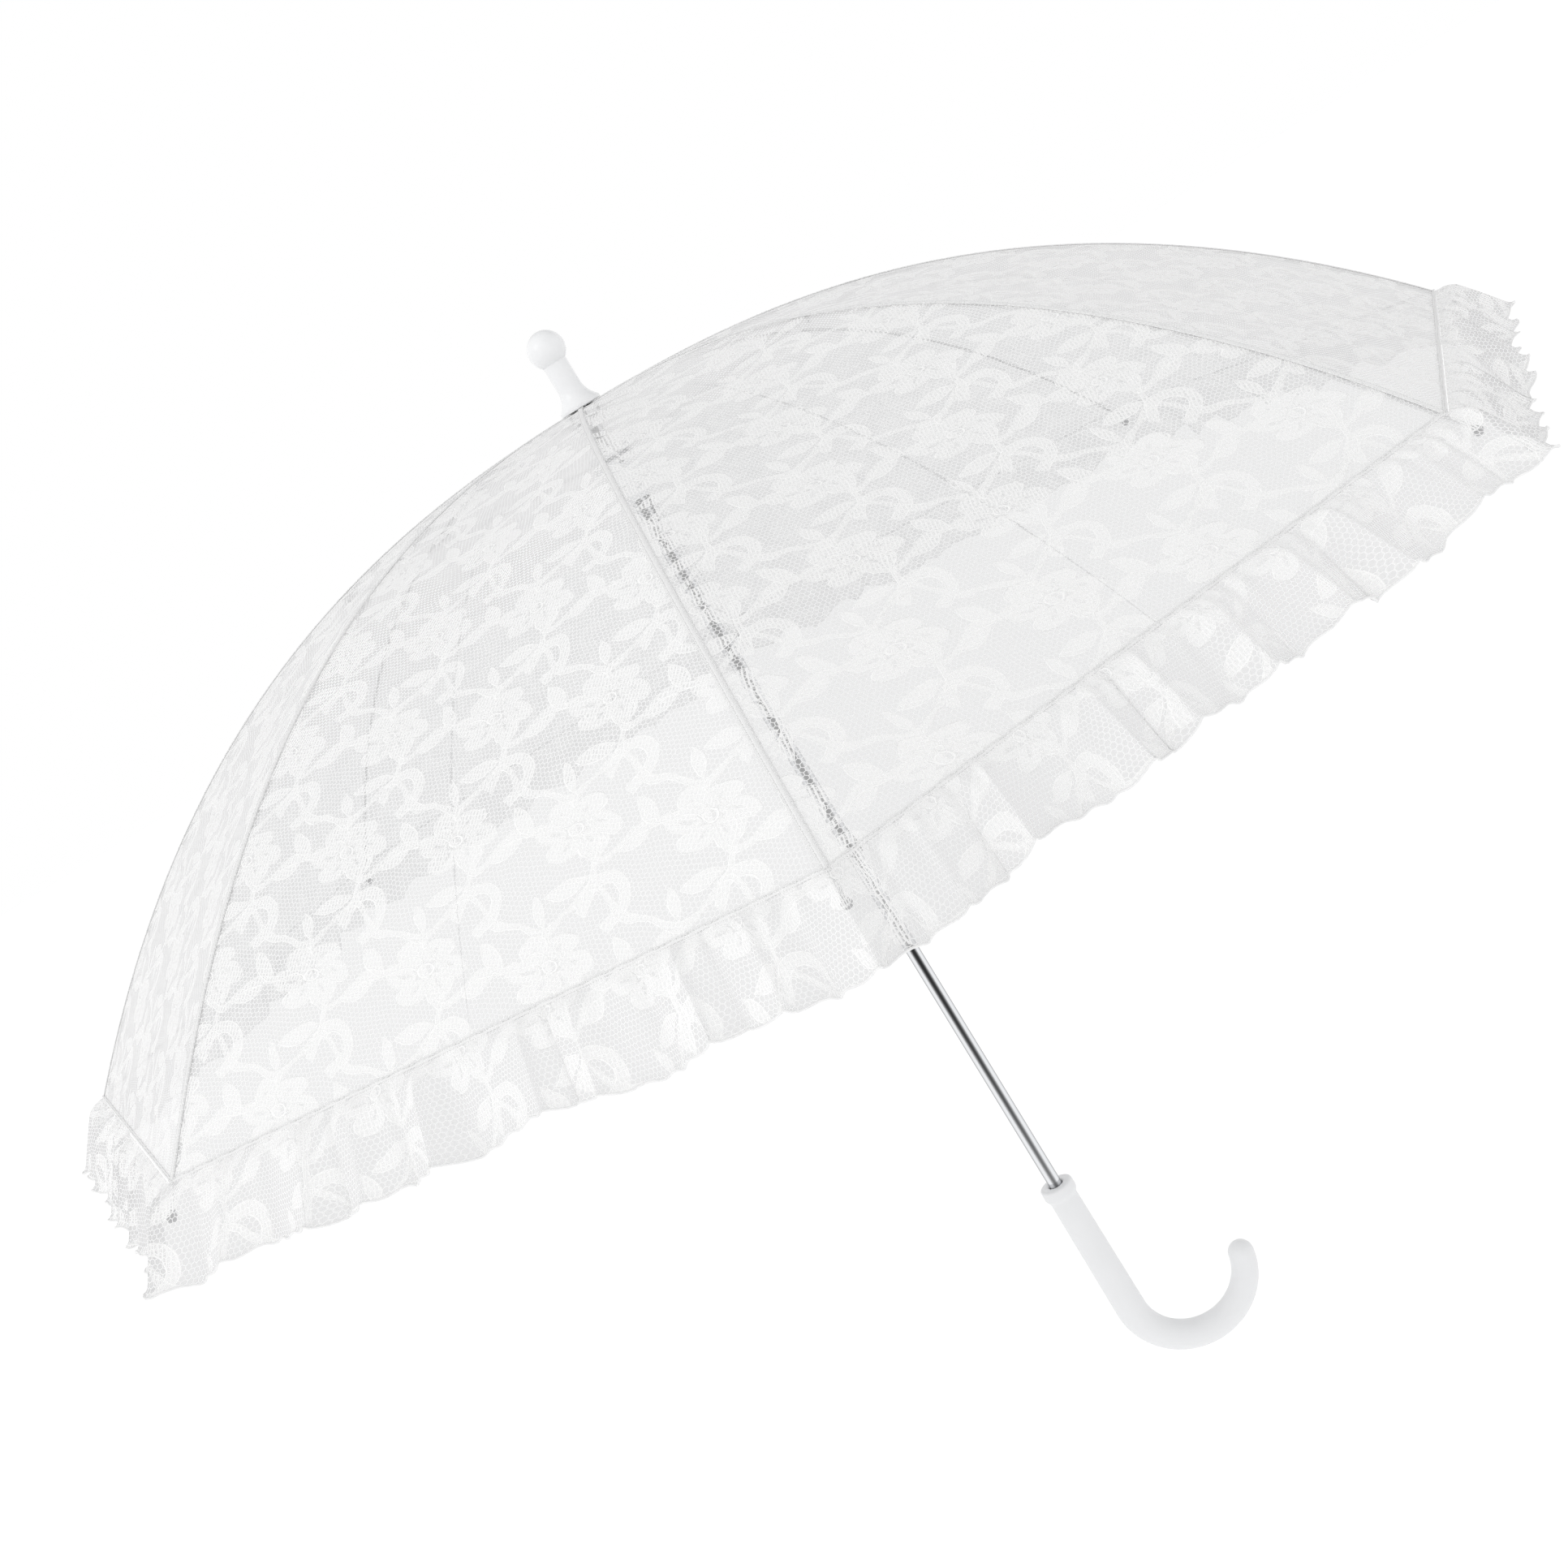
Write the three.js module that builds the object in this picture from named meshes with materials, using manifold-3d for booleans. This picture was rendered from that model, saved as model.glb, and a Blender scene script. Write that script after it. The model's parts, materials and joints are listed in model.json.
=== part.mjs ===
// A stick parasol with a lace cover, open. Millimetres, +Z up towards the ferrule.
// The origin is on the shaft's axis, in the middle of the straight grip.
import * as THREE from 'three';
import { mergeVertices } from 'three/addons/utils/BufferGeometryUtils.js';
import Module from 'manifold-3d';

const wasm = await Module();
wasm.setup();

// Driving dimensions, in millimetres and degrees.
const RIB_COUNT = 8;
const CANOPY_RADIUS = 425; // shaft axis to a corner of the cover
const CANOPY_DEPTH = 183; // top of the cover to its corners
const BOW_POWER = 2.38; // how late the cover curves down
const COVER_THICKNESS = 0.8;
const COVER_HOLE_RADIUS = 5.6;
const FRILL_WIDTH = 40;
const FRILL_THICKNESS = 3;
const FRILL_SLOPE = 60; // below the horizontal
const TIP_TO_FRILL = 0.5;
const SHAFT_RADIUS = 4;
const SHAFT_WALL = 0.8;
const SHAFT_LENGTH = 578;
const SHAFT_IN_HANDLE = 52;
const COVER_TOP_TO_SHAFT_TOP = 14;
const RIB_RADIUS = 1.1;
const RIB_OVERHANG = 7; // rib end past the cover's corner
const TIP_BALL_RADIUS = 2.3;
const TIP_NECK = 1;
const EYE_RADIUS = 2.2;
const EYE_THICKNESS = 1.8;
const EYE_RIM = 0.8; // where a wire joins its eye
const RING_WIRE_RADIUS = 0.5;
const CROWN_RADIUS = 11.2;
const CROWN_HEIGHT = 11;
const CROWN_CHAMFER = 1.5;
const RIB_PIVOT_RADIUS = 8.6;
const RUNNER_RADIUS = 7.4;
const RUNNER_LENGTH = 30;
const RUNNER_BEAD = 1.2; // the runner's lower end past its sleeve
const RUNNER_BEAD_HEIGHT = 4;
const RUNNER_TAPER = 2;
const RUNNER_FLANGE_RADIUS = 12;
const RUNNER_FLANGE_HEIGHT = 9;
const RUNNER_DROP = 26; // runner's top below the cover's top
const STRETCHER_PIVOT_RADIUS = 9.2;
const STRETCHER_RADIUS = 0.95;
const STRETCHER_OFFSET = 3.6; // to the side of the rib
const CLIP_RADIUS = 160; // shaft axis to a clip
const CLIP_LENGTH = 12;
const CLIP_WIDTH = 4.2;
const CLIP_HEIGHT = 4.6;
const CATCH_THICKNESS = 1.6;
const CATCH_LENGTH = 16;
const CATCH_REACH = 6.4;
const CATCH_ROOT = 2; // into the tube
const CATCH_NOSE = 2;
const FOLD_ANGLE = 64; // a rib's turn from open to closed, in degrees
const BALL_RADIUS = 10.5;
const BALL_ABOVE_COVER = 35; // ball centre above the cover's top
const FERRULE_NECK_RADIUS = 7;
const FERRULE_SKIRT_RADIUS = 11.8;
const FERRULE_SKIRT_HEIGHT = 12;
const FERRULE_BRIM = 1.5;
const FERRULE_BORE_DEPTH = 20;
const WASHER_RADIUS = 9;
const WASHER_THICKNESS = 1;
const COLLAR_RADIUS = 10.2;
const COLLAR_HEIGHT = 8;
const COLLAR_CHAMFER = 1;
const COLLAR_UNDERCUT = 0.6;
const COLLAR_UNDERCUT_HEIGHT = 1.5;
const COLLAR_NECK = 2; // below the collar
const GRIP_TOP_RADIUS = 8.5;
const GRIP_LOW_RADIUS = 9.1;
const GRIP_LENGTH = 82;
const HOOK_RADIUS = 36; // centreline of the bend
const HOOK_TURN = 172;
const HOOK_END_RADIUS = 7.6;
const CLEARANCE = 0.3;
const RIB_GAP = 0.5; // rib to cover
const CUT_SPARE = 1; // how far a cut runs past what it cuts
const SLOT_CUT = 20;
const ROUND_SIDES = 28;
const WIRE_SIDES = 6;
const EYE_SIDES = 12;
const RING_STEPS = 32;
const RIB_STEPS = 18;
const GORE_STEPS = 18;
const RIB_RISE = 9; // the rib meets the cover's curve one part in this many along it
const FLARE_STEPS = 6;
const BALL_STEPS = 10;
const TIP_STEPS = 5;
const TIP_SIDES = 8;
const BEND_STEPS = 18;
const CAP_STEPS = 4;
const CAP_FLAT = 0.4; // radius left flat at the handle's end

// Heights that follow from the driving dimensions.
const GRIP_TOP = GRIP_LENGTH / 2;
const HANDLE_TOP = GRIP_TOP + COLLAR_HEIGHT;
const SHAFT_BOTTOM = HANDLE_TOP - SHAFT_IN_HANDLE;
const SHAFT_TOP = SHAFT_BOTTOM + SHAFT_LENGTH;
const COVER_TOP = SHAFT_TOP - COVER_TOP_TO_SHAFT_TOP;
const CROWN_TOP = COVER_TOP - COVER_THICKNESS - CLEARANCE;
const RIB_PIVOT_HEIGHT = CROWN_TOP - CROWN_HEIGHT / 2;
const RUNNER_TOP = COVER_TOP - RUNNER_DROP;
const RUNNER_BOTTOM = RUNNER_TOP - RUNNER_LENGTH;
const STRETCHER_PIVOT_HEIGHT = RUNNER_TOP - RUNNER_FLANGE_HEIGHT / 2;
const HALF_STEP = Math.PI / RIB_COUNT;
const BORE_RADIUS = SHAFT_RADIUS + CLEARANCE;
const RIB_DEPTH_BELOW_COVER = COVER_THICKNESS + RIB_GAP + RIB_RADIUS;

const material = (color, roughness, metalness) =>
  new THREE.MeshStandardMaterial({ color, roughness, metalness });
const CHROME = material(0xd8dade, 0.12, 1);
const WIRE_STEEL = material(0xb9bcc2, 0.3, 1);
const DARK_METAL = material(0x55585e, 0.35, 1);
const WHITE_COATING = material(0xf4f5f5, 0.35, 0);
const WHITE_PLASTIC = material(0xf2f3f4, 0.2, 0);
const GRIP_PLASTIC = material(0xeeeff0, 0.45, 0);
const LACE = material(0xfafaf8, 0.85, 0);

const group = new THREE.Group();

function addPiece(name, geometry, finish, turn = 0) {
  const mesh = new THREE.Mesh(geometry, finish);
  mesh.name = name;
  mesh.rotation.z = turn;
  group.add(mesh);
}

// Solids: merging, cutting and joining.

function toSolid(geometry) {
  const bare = geometry.index ? geometry.toNonIndexed() : geometry.clone();
  bare.deleteAttribute('normal');
  bare.deleteAttribute('uv');
  const merged = mergeVertices(bare, 1e-4);
  const vertProperties = new Float32Array(merged.attributes.position.array);
  const triVerts = new Uint32Array(merged.index.array);
  return new wasm.Manifold(new wasm.Mesh({ numProp: 3, vertProperties, triVerts }));
}

function toGeometry(solid) {
  const mesh = solid.getMesh();
  const geometry = new THREE.BufferGeometry();
  geometry.setAttribute('position', new THREE.BufferAttribute(mesh.vertProperties, 3));
  geometry.setIndex(new THREE.BufferAttribute(mesh.triVerts, 1));
  geometry.computeVertexNormals();
  return geometry;
}

// A round solid about +Z from [radius, height] points.
function turned(points, sides = ROUND_SIDES) {
  const profile = points.map(([radius, height]) => new THREE.Vector2(radius, height));
  return new THREE.LatheGeometry(profile, sides).rotateX(Math.PI / 2);
}

// A closed ring profile: its last point repeats its first.
function turnedRing(points, sides = ROUND_SIDES) {
  return turned([...points, points[0]], sides);
}

function boxAt(width, depth, height, x, y, z) {
  return new THREE.BoxGeometry(width, depth, height).translate(x, y, z);
}

// A section swept along a curve.
function swept(curve, radius, sides, steps) {
  const shape = new THREE.Shape();
  for (let i = 0; i < sides; i += 1) {
    const angle = (2 * Math.PI * (i + 0.5)) / sides;
    const move = i === 0 ? 'moveTo' : 'lineTo';
    shape[move](radius * Math.cos(angle), radius * Math.sin(angle));
  }
  shape.closePath();
  return new THREE.ExtrudeGeometry(shape, { steps, extrudePath: curve, bevelEnabled: false });
}

// A disc with a hole, on an axis along Y.
function eyeAt(x, y, z, holeRadius) {
  const half = EYE_THICKNESS / 2;
  const ring = turnedRing([
    [holeRadius, -half], [EYE_RADIUS, -half], [EYE_RADIUS, half], [holeRadius, half],
  ], EYE_SIDES);
  return ring.rotateX(Math.PI / 2).translate(x, y, z);
}

// The cover's shape over a rib: height at a distance from the shaft's axis.

function coverHeight(radius) {
  return COVER_TOP - CANOPY_DEPTH * (radius / CANOPY_RADIUS) ** BOW_POWER;
}

function coverSlope(radius) {
  const share = (radius / CANOPY_RADIUS) ** (BOW_POWER - 1);
  return (-CANOPY_DEPTH * BOW_POWER * share) / CANOPY_RADIUS;
}

// A point under the cover's outer face, `depth` along its normal.
function underCover(radius, depth) {
  const slope = coverSlope(radius);
  const length = Math.hypot(1, slope);
  return new THREE.Vector2(radius + (slope * depth) / length, coverHeight(radius) - depth / length);
}

// The fold: each stretcher keeps its length while its rib turns down.

function clipPivot() {
  return underCover(CLIP_RADIUS, RIB_DEPTH_BELOW_COVER + CLIP_HEIGHT / 2);
}

function runnerTravel() {
  const ribPivot = new THREE.Vector2(RIB_PIVOT_RADIUS, RIB_PIVOT_HEIGHT);
  const open = clipPivot();
  const closed = open.clone().rotateAround(ribPivot, -THREE.MathUtils.degToRad(FOLD_ANGLE));
  const length = Math.hypot(open.x - STRETCHER_PIVOT_RADIUS, open.y - STRETCHER_PIVOT_HEIGHT);
  const rise = Math.sqrt(length ** 2 - (closed.x - STRETCHER_PIVOT_RADIUS) ** 2);
  return STRETCHER_PIVOT_HEIGHT - (closed.y - rise);
}

// The shaft, what is fixed on it and what locks the runner.

function shaftTube() {
  const inner = SHAFT_RADIUS - SHAFT_WALL;
  const tube = toSolid(turnedRing([
    [inner, SHAFT_BOTTOM], [SHAFT_RADIUS, SHAFT_BOTTOM], [SHAFT_RADIUS, SHAFT_TOP], [inner, SHAFT_TOP],
  ]));
  const slotWidth = CATCH_THICKNESS + 2 * CLEARANCE;
  const slotLength = CATCH_LENGTH + 2 * CLEARANCE;
  const slots = [topCatchHeight(), bottomCatchHeight()].map((height) =>
    toSolid(boxAt(SHAFT_RADIUS * 2, slotWidth, slotLength, SHAFT_RADIUS, 0, height)));
  return toGeometry(slots.reduce((solid, slot) => solid.subtract(slot), tube));
}

function topCatchHeight() {
  return RUNNER_BOTTOM - CLEARANCE - CATCH_LENGTH / 2;
}

function bottomCatchHeight() {
  return RUNNER_TOP - runnerTravel() + CLEARANCE + CATCH_LENGTH / 2;
}

// A wedge in the plane of X and Z. `lip` is 1 with its flat edge on top, -1 with it below.
function catchTongue(height, lip) {
  const half = CATCH_LENGTH / 2;
  const root = SHAFT_RADIUS - SHAFT_WALL - CATCH_ROOT;
  const shape = new THREE.Shape();
  shape.moveTo(root, -half);
  shape.lineTo(SHAFT_RADIUS + CLEARANCE, -half);
  shape.lineTo(CATCH_REACH, half - CATCH_NOSE);
  shape.lineTo(CATCH_REACH, half);
  shape.lineTo(root, half);
  shape.closePath();
  const plate = new THREE.ExtrudeGeometry(shape, { depth: CATCH_THICKNESS, bevelEnabled: false });
  plate.translate(0, 0, -CATCH_THICKNESS / 2).rotateX((lip * Math.PI) / 2);
  return plate.translate(0, 0, height);
}

function ferrule() {
  const base = COVER_TOP + CLEARANCE;
  const brimTop = base + FERRULE_BRIM;
  const skirtTop = base + FERRULE_SKIRT_HEIGHT;
  const ballHeight = COVER_TOP + BALL_ABOVE_COVER;
  const neckAngle = Math.asin(FERRULE_NECK_RADIUS / BALL_RADIUS);
  const washerRoom = WASHER_RADIUS + CLEARANCE;
  const washerTop = base + WASHER_THICKNESS + CLEARANCE;
  const points = [
    [0, base + FERRULE_BORE_DEPTH],
    [BORE_RADIUS, base + FERRULE_BORE_DEPTH],
    [BORE_RADIUS, washerTop],
    [washerRoom, washerTop],
    [washerRoom, base],
    [FERRULE_SKIRT_RADIUS, base],
    [FERRULE_SKIRT_RADIUS, brimTop],
  ];
  for (let i = 1; i <= FLARE_STEPS; i += 1) {
    const share = i / FLARE_STEPS;
    const flare = (FERRULE_SKIRT_RADIUS - FERRULE_NECK_RADIUS) * (1 - share) ** 2;
    points.push([FERRULE_NECK_RADIUS + flare, brimTop + (skirtTop - brimTop) * share]);
  }
  for (let i = 0; i <= BALL_STEPS; i += 1) {
    const angle = Math.PI - neckAngle - ((Math.PI - neckAngle) * i) / BALL_STEPS;
    const radius = i === BALL_STEPS ? 0 : BALL_RADIUS * Math.sin(angle);
    points.push([radius, ballHeight + BALL_RADIUS * Math.cos(angle)]);
  }
  return turned(points, ROUND_SIDES);
}

function coverWasher() {
  const low = COVER_TOP + CLEARANCE;
  const high = low + WASHER_THICKNESS;
  return turnedRing([[BORE_RADIUS, low], [WASHER_RADIUS, low], [WASHER_RADIUS, high], [BORE_RADIUS, high]]);
}

// A ring with a groove for its wire, and a slot for each rib or stretcher.
function notchedRing(profile, slotInner, slotOffset, slotWidth, low, high) {
  let solid = toSolid(turnedRing(profile));
  for (let i = 0; i < RIB_COUNT; i += 1) {
    const middle = (low + high) / 2;
    const slot = boxAt(SLOT_CUT, slotWidth, high - low, slotInner + SLOT_CUT / 2, slotOffset, middle);
    slot.rotateZ(i * 2 * HALF_STEP);
    solid = solid.subtract(toSolid(slot));
  }
  return toGeometry(solid);
}

function crown() {
  const low = CROWN_TOP - CROWN_HEIGHT;
  const groove = RING_WIRE_RADIUS + CLEARANCE;
  const grooveFloor = RIB_PIVOT_RADIUS - groove;
  return notchedRing([
    [BORE_RADIUS, low],
    [CROWN_RADIUS - CROWN_CHAMFER, low],
    [CROWN_RADIUS, low + CROWN_CHAMFER],
    [CROWN_RADIUS, RIB_PIVOT_HEIGHT - groove],
    [grooveFloor, RIB_PIVOT_HEIGHT - groove],
    [grooveFloor, RIB_PIVOT_HEIGHT + groove],
    [CROWN_RADIUS, RIB_PIVOT_HEIGHT + groove],
    [CROWN_RADIUS, CROWN_TOP],
    [BORE_RADIUS, CROWN_TOP],
  ], RIB_PIVOT_RADIUS - EYE_RADIUS - CLEARANCE, 0, EYE_THICKNESS + 2 * CLEARANCE,
  low - CUT_SPARE, CROWN_TOP + CUT_SPARE);
}

function ringWire(radius, height) {
  return new THREE.TorusGeometry(radius, RING_WIRE_RADIUS, WIRE_SIDES, RING_STEPS).translate(0, 0, height);
}

function runner() {
  const flangeLow = RUNNER_TOP - RUNNER_FLANGE_HEIGHT;
  const groove = RING_WIRE_RADIUS + CLEARANCE;
  const wireRadius = Math.hypot(STRETCHER_PIVOT_RADIUS, STRETCHER_OFFSET);
  const grooveFloor = wireRadius - groove;
  return notchedRing([
    [BORE_RADIUS, RUNNER_BOTTOM],
    [RUNNER_RADIUS + RUNNER_BEAD, RUNNER_BOTTOM],
    [RUNNER_RADIUS + RUNNER_BEAD, RUNNER_BOTTOM + RUNNER_BEAD_HEIGHT],
    [RUNNER_RADIUS, RUNNER_BOTTOM + RUNNER_BEAD_HEIGHT + RUNNER_TAPER],
    [RUNNER_RADIUS, flangeLow - RUNNER_TAPER],
    [RUNNER_FLANGE_RADIUS, flangeLow],
    [RUNNER_FLANGE_RADIUS, STRETCHER_PIVOT_HEIGHT - groove],
    [grooveFloor, STRETCHER_PIVOT_HEIGHT - groove],
    [grooveFloor, STRETCHER_PIVOT_HEIGHT + groove],
    [RUNNER_FLANGE_RADIUS, STRETCHER_PIVOT_HEIGHT + groove],
    [RUNNER_FLANGE_RADIUS, RUNNER_TOP],
    [BORE_RADIUS, RUNNER_TOP],
  ], STRETCHER_PIVOT_RADIUS - EYE_RADIUS - CLEARANCE, STRETCHER_OFFSET,
  EYE_THICKNESS + 2 * CLEARANCE, flangeLow, RUNNER_TOP + CUT_SPARE);
}

function handle() {
  const blank = [
    [0, -GRIP_TOP],
    [GRIP_LOW_RADIUS, -GRIP_TOP],
    [GRIP_TOP_RADIUS, GRIP_TOP - COLLAR_NECK],
    [COLLAR_RADIUS - COLLAR_UNDERCUT, GRIP_TOP],
    [COLLAR_RADIUS, GRIP_TOP + COLLAR_UNDERCUT_HEIGHT],
    [COLLAR_RADIUS, HANDLE_TOP - COLLAR_CHAMFER],
    [COLLAR_RADIUS - COLLAR_CHAMFER, HANDLE_TOP],
    [0, HANDLE_TOP],
  ];
  const socketFloor = SHAFT_BOTTOM - CLEARANCE;
  const socket = turned([
    [0, socketFloor],
    [BORE_RADIUS, socketFloor],
    [BORE_RADIUS, HANDLE_TOP + CUT_SPARE],
    [0, HANDLE_TOP + CUT_SPARE],
  ]);
  return toGeometry(toSolid(turned(blank)).add(toSolid(hook())).subtract(toSolid(socket)));
}

// The bend of the handle: rings of points along an arc, closed by a round end.
function hook() {
  const rings = [];
  const turn = THREE.MathUtils.degToRad(HOOK_TURN);
  for (let i = 0; i <= BEND_STEPS; i += 1) {
    const share = i / BEND_STEPS;
    rings.push({ angle: turn * share, radius: hookRadius(share), ahead: 0 });
  }
  for (let i = 1; i <= CAP_STEPS; i += 1) {
    const round = (Math.PI / 2) * (i / CAP_STEPS);
    const radius = Math.max(HOOK_END_RADIUS * Math.cos(round), CAP_FLAT);
    rings.push({ angle: turn, radius, ahead: HOOK_END_RADIUS * Math.sin(round) });
  }
  rings.unshift({ angle: 0, radius: GRIP_LOW_RADIUS, ahead: -2 * CUT_SPARE });
  return loft(rings.map(hookRing));
}

function hookRadius(share) {
  return THREE.MathUtils.lerp(GRIP_LOW_RADIUS, HOOK_END_RADIUS, share ** 1.5);
}

function hookRing({ angle, radius, ahead }) {
  const centre = new THREE.Vector3(
    HOOK_RADIUS * (1 - Math.cos(angle)) + ahead * Math.sin(angle),
    0,
    -GRIP_TOP - HOOK_RADIUS * Math.sin(angle) - ahead * Math.cos(angle),
  );
  const outward = new THREE.Vector3(-Math.cos(angle), 0, Math.sin(angle) * -1);
  const ring = [];
  for (let k = 0; k < ROUND_SIDES; k += 1) {
    const around = (2 * Math.PI * k) / ROUND_SIDES;
    const point = centre.clone().addScaledVector(outward, radius * Math.cos(around));
    point.y += radius * Math.sin(around);
    ring.push(point);
  }
  return ring;
}

// A closed solid through rings of equal point counts, with fan ends.
function loft(rings) {
  const sides = rings[0].length;
  const positions = [];
  const index = [];
  rings.forEach((ring) => ring.forEach((point) => positions.push(point.x, point.y, point.z)));
  for (let i = 0; i < rings.length - 1; i += 1) {
    for (let k = 0; k < sides; k += 1) {
      const next = (k + 1) % sides;
      const a = i * sides + k;
      const b = i * sides + next;
      index.push(a, b, b + sides, a, b + sides, a + sides);
    }
  }
  const last = (rings.length - 1) * sides;
  for (let k = 1; k < sides - 1; k += 1) {
    index.push(0, k + 1, k);
    index.push(last, last + k, last + k + 1);
  }
  const geometry = new THREE.BufferGeometry();
  geometry.setAttribute('position', new THREE.Float32BufferAttribute(positions, 3));
  geometry.setIndex(index);
  geometry.computeVertexNormals();
  return outwardFacing(geometry);
}

// Turns the faces round if the solid's volume comes out negative.
function outwardFacing(geometry) {
  const spots = geometry.attributes.position;
  const index = geometry.index;
  const [a, b, c] = [new THREE.Vector3(), new THREE.Vector3(), new THREE.Vector3()];
  let volume = 0;
  for (let i = 0; i < index.count; i += 3) {
    a.fromBufferAttribute(spots, index.getX(i));
    b.fromBufferAttribute(spots, index.getX(i + 1));
    c.fromBufferAttribute(spots, index.getX(i + 2));
    volume += a.dot(b.cross(c));
  }
  if (volume < 0) {
    geometry.setIndex([...index.array].reverse());
    geometry.computeVertexNormals();
  }
  return geometry;
}

// The frame. A rib is made along +X and then turned into place.

class RibPath extends THREE.Curve {
  getPoint(share, target = new THREE.Vector3()) {
    const radius = RIB_PIVOT_RADIUS + (CANOPY_RADIUS + RIB_OVERHANG - RIB_PIVOT_RADIUS) * share;
    const spot = underCover(radius, RIB_DEPTH_BELOW_COVER);
    const drop = coverHeight(0) - RIB_DEPTH_BELOW_COVER - RIB_PIVOT_HEIGHT;
    return target.set(spot.x, 0, spot.y - drop * Math.max(0, 1 - share * RIB_RISE));
  }
}

function rib() {
  const wire = toSolid(swept(new RibPath(), RIB_RADIUS, WIRE_SIDES, RIB_STEPS));
  const eye = toSolid(eyeAt(RIB_PIVOT_RADIUS, 0, RIB_PIVOT_HEIGHT, RING_WIRE_RADIUS + CLEARANCE));
  return toGeometry(clearOfHole(wire, RIB_PIVOT_RADIUS, 0, RIB_PIVOT_HEIGHT).add(eye));
}

// Cuts the eye's whole disc out of a wire, so that its hole stays open.
function clearOfHole(wire, x, y, z) {
  const reach = EYE_RADIUS - EYE_RIM / 2;
  const half = EYE_THICKNESS / 2 + STRETCHER_RADIUS + CUT_SPARE;
  const plug = turned([[0, -half], [reach, -half], [reach, half], [0, half]], EYE_SIDES);
  return wire.subtract(toSolid(plug.rotateX(Math.PI / 2).translate(x, y, z)));
}

// Where the ball on a rib's end has its centre, in the rib's plane.
function tipCentre() {
  const end = new RibPath().getPoint(1);
  const slope = Math.atan(-coverSlope(CANOPY_RADIUS + RIB_OVERHANG));
  const reach = CLEARANCE + tipReach();
  return { x: end.x + reach * Math.cos(slope), z: end.z - reach * Math.sin(slope) };
}

function tipReach() {
  return TIP_NECK + Math.sqrt(TIP_BALL_RADIUS ** 2 - RIB_RADIUS ** 2);
}

function ribTip() {
  const end = new RibPath().getPoint(1);
  const slope = Math.atan(-coverSlope(CANOPY_RADIUS + RIB_OVERHANG));
  const ball = [[0, 0], [RIB_RADIUS, 0], [RIB_RADIUS, TIP_NECK]];
  const start = Math.PI - Math.asin(RIB_RADIUS / TIP_BALL_RADIUS);
  for (let i = 1; i <= TIP_STEPS; i += 1) {
    const angle = start * (1 - i / TIP_STEPS);
    const radius = i === TIP_STEPS ? 0 : TIP_BALL_RADIUS * Math.sin(angle);
    ball.push([radius, tipReach() + TIP_BALL_RADIUS * Math.cos(angle)]);
  }
  const solid = turned(ball, TIP_SIDES).translate(0, 0, CLEARANCE);
  return solid.rotateY(Math.PI / 2 + slope).translate(end.x, 0, end.z);
}

// A folded saddle round the rib, open upwards, that carries the stretcher's end.
function ribClip() {
  const spot = underCover(CLIP_RADIUS, RIB_DEPTH_BELOW_COVER);
  const slope = Math.atan2(-coverSlope(CLIP_RADIUS), 1);
  const channel = RIB_RADIUS + CLEARANCE;
  const openLength = CLIP_LENGTH + 2 * CUT_SPARE;
  const body = toSolid(boxAt(CLIP_LENGTH, CLIP_WIDTH, CLIP_HEIGHT, 0, 0, -CLIP_HEIGHT / 2 + RIB_RADIUS));
  const open = toSolid(boxAt(openLength, channel * 2, CLIP_HEIGHT, 0, 0, CLIP_HEIGHT / 2 - channel));
  const geometry = toGeometry(body.subtract(open));
  return geometry.rotateY(slope).translate(spot.x, 0, spot.y);
}

// A straight wire beside the rib, with an eye at the runner and one at the clip.
function stretcher() {
  const near = new THREE.Vector3(STRETCHER_PIVOT_RADIUS, STRETCHER_OFFSET, STRETCHER_PIVOT_HEIGHT);
  const clip = clipPivot();
  const far = new THREE.Vector3(clip.x, STRETCHER_OFFSET, clip.y);
  const hole = RING_WIRE_RADIUS + 3 * CLEARANCE;
  const wire = toSolid(swept(new THREE.LineCurve3(near, far), STRETCHER_RADIUS, WIRE_SIDES, 1));
  const nearEye = toSolid(eyeAt(near.x, near.y, near.z, hole));
  const farEye = toSolid(eyeAt(far.x, far.y, far.z, RING_WIRE_RADIUS + CLEARANCE));
  const body = clearOfHole(clearOfHole(wire, near.x, near.y, near.z), far.x, far.y, far.z);
  return toGeometry(body.add(nearEye).add(farEye));
}

// The cover. A gore lies over its rib and meets its neighbours in mid-panel.

// Points of a gore at its left seam, over its rib and at its right seam. Seams keep clear of
// the plane that they share, and cloth runs straight from rib to rib.
function goreRow(radius, height) {
  const middle = radius * Math.cos(HALF_STEP);
  return [-1, 0, 1].map((side) => {
    if (side === 0) {
      return new THREE.Vector3(radius, 0, height);
    }
    const along = side * HALF_STEP;
    const inset = (side * CLEARANCE) / 2;
    return new THREE.Vector3(
      middle * Math.cos(along) + inset * Math.sin(along),
      middle * Math.sin(along) - inset * Math.cos(along),
      height,
    );
  });
}

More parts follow.
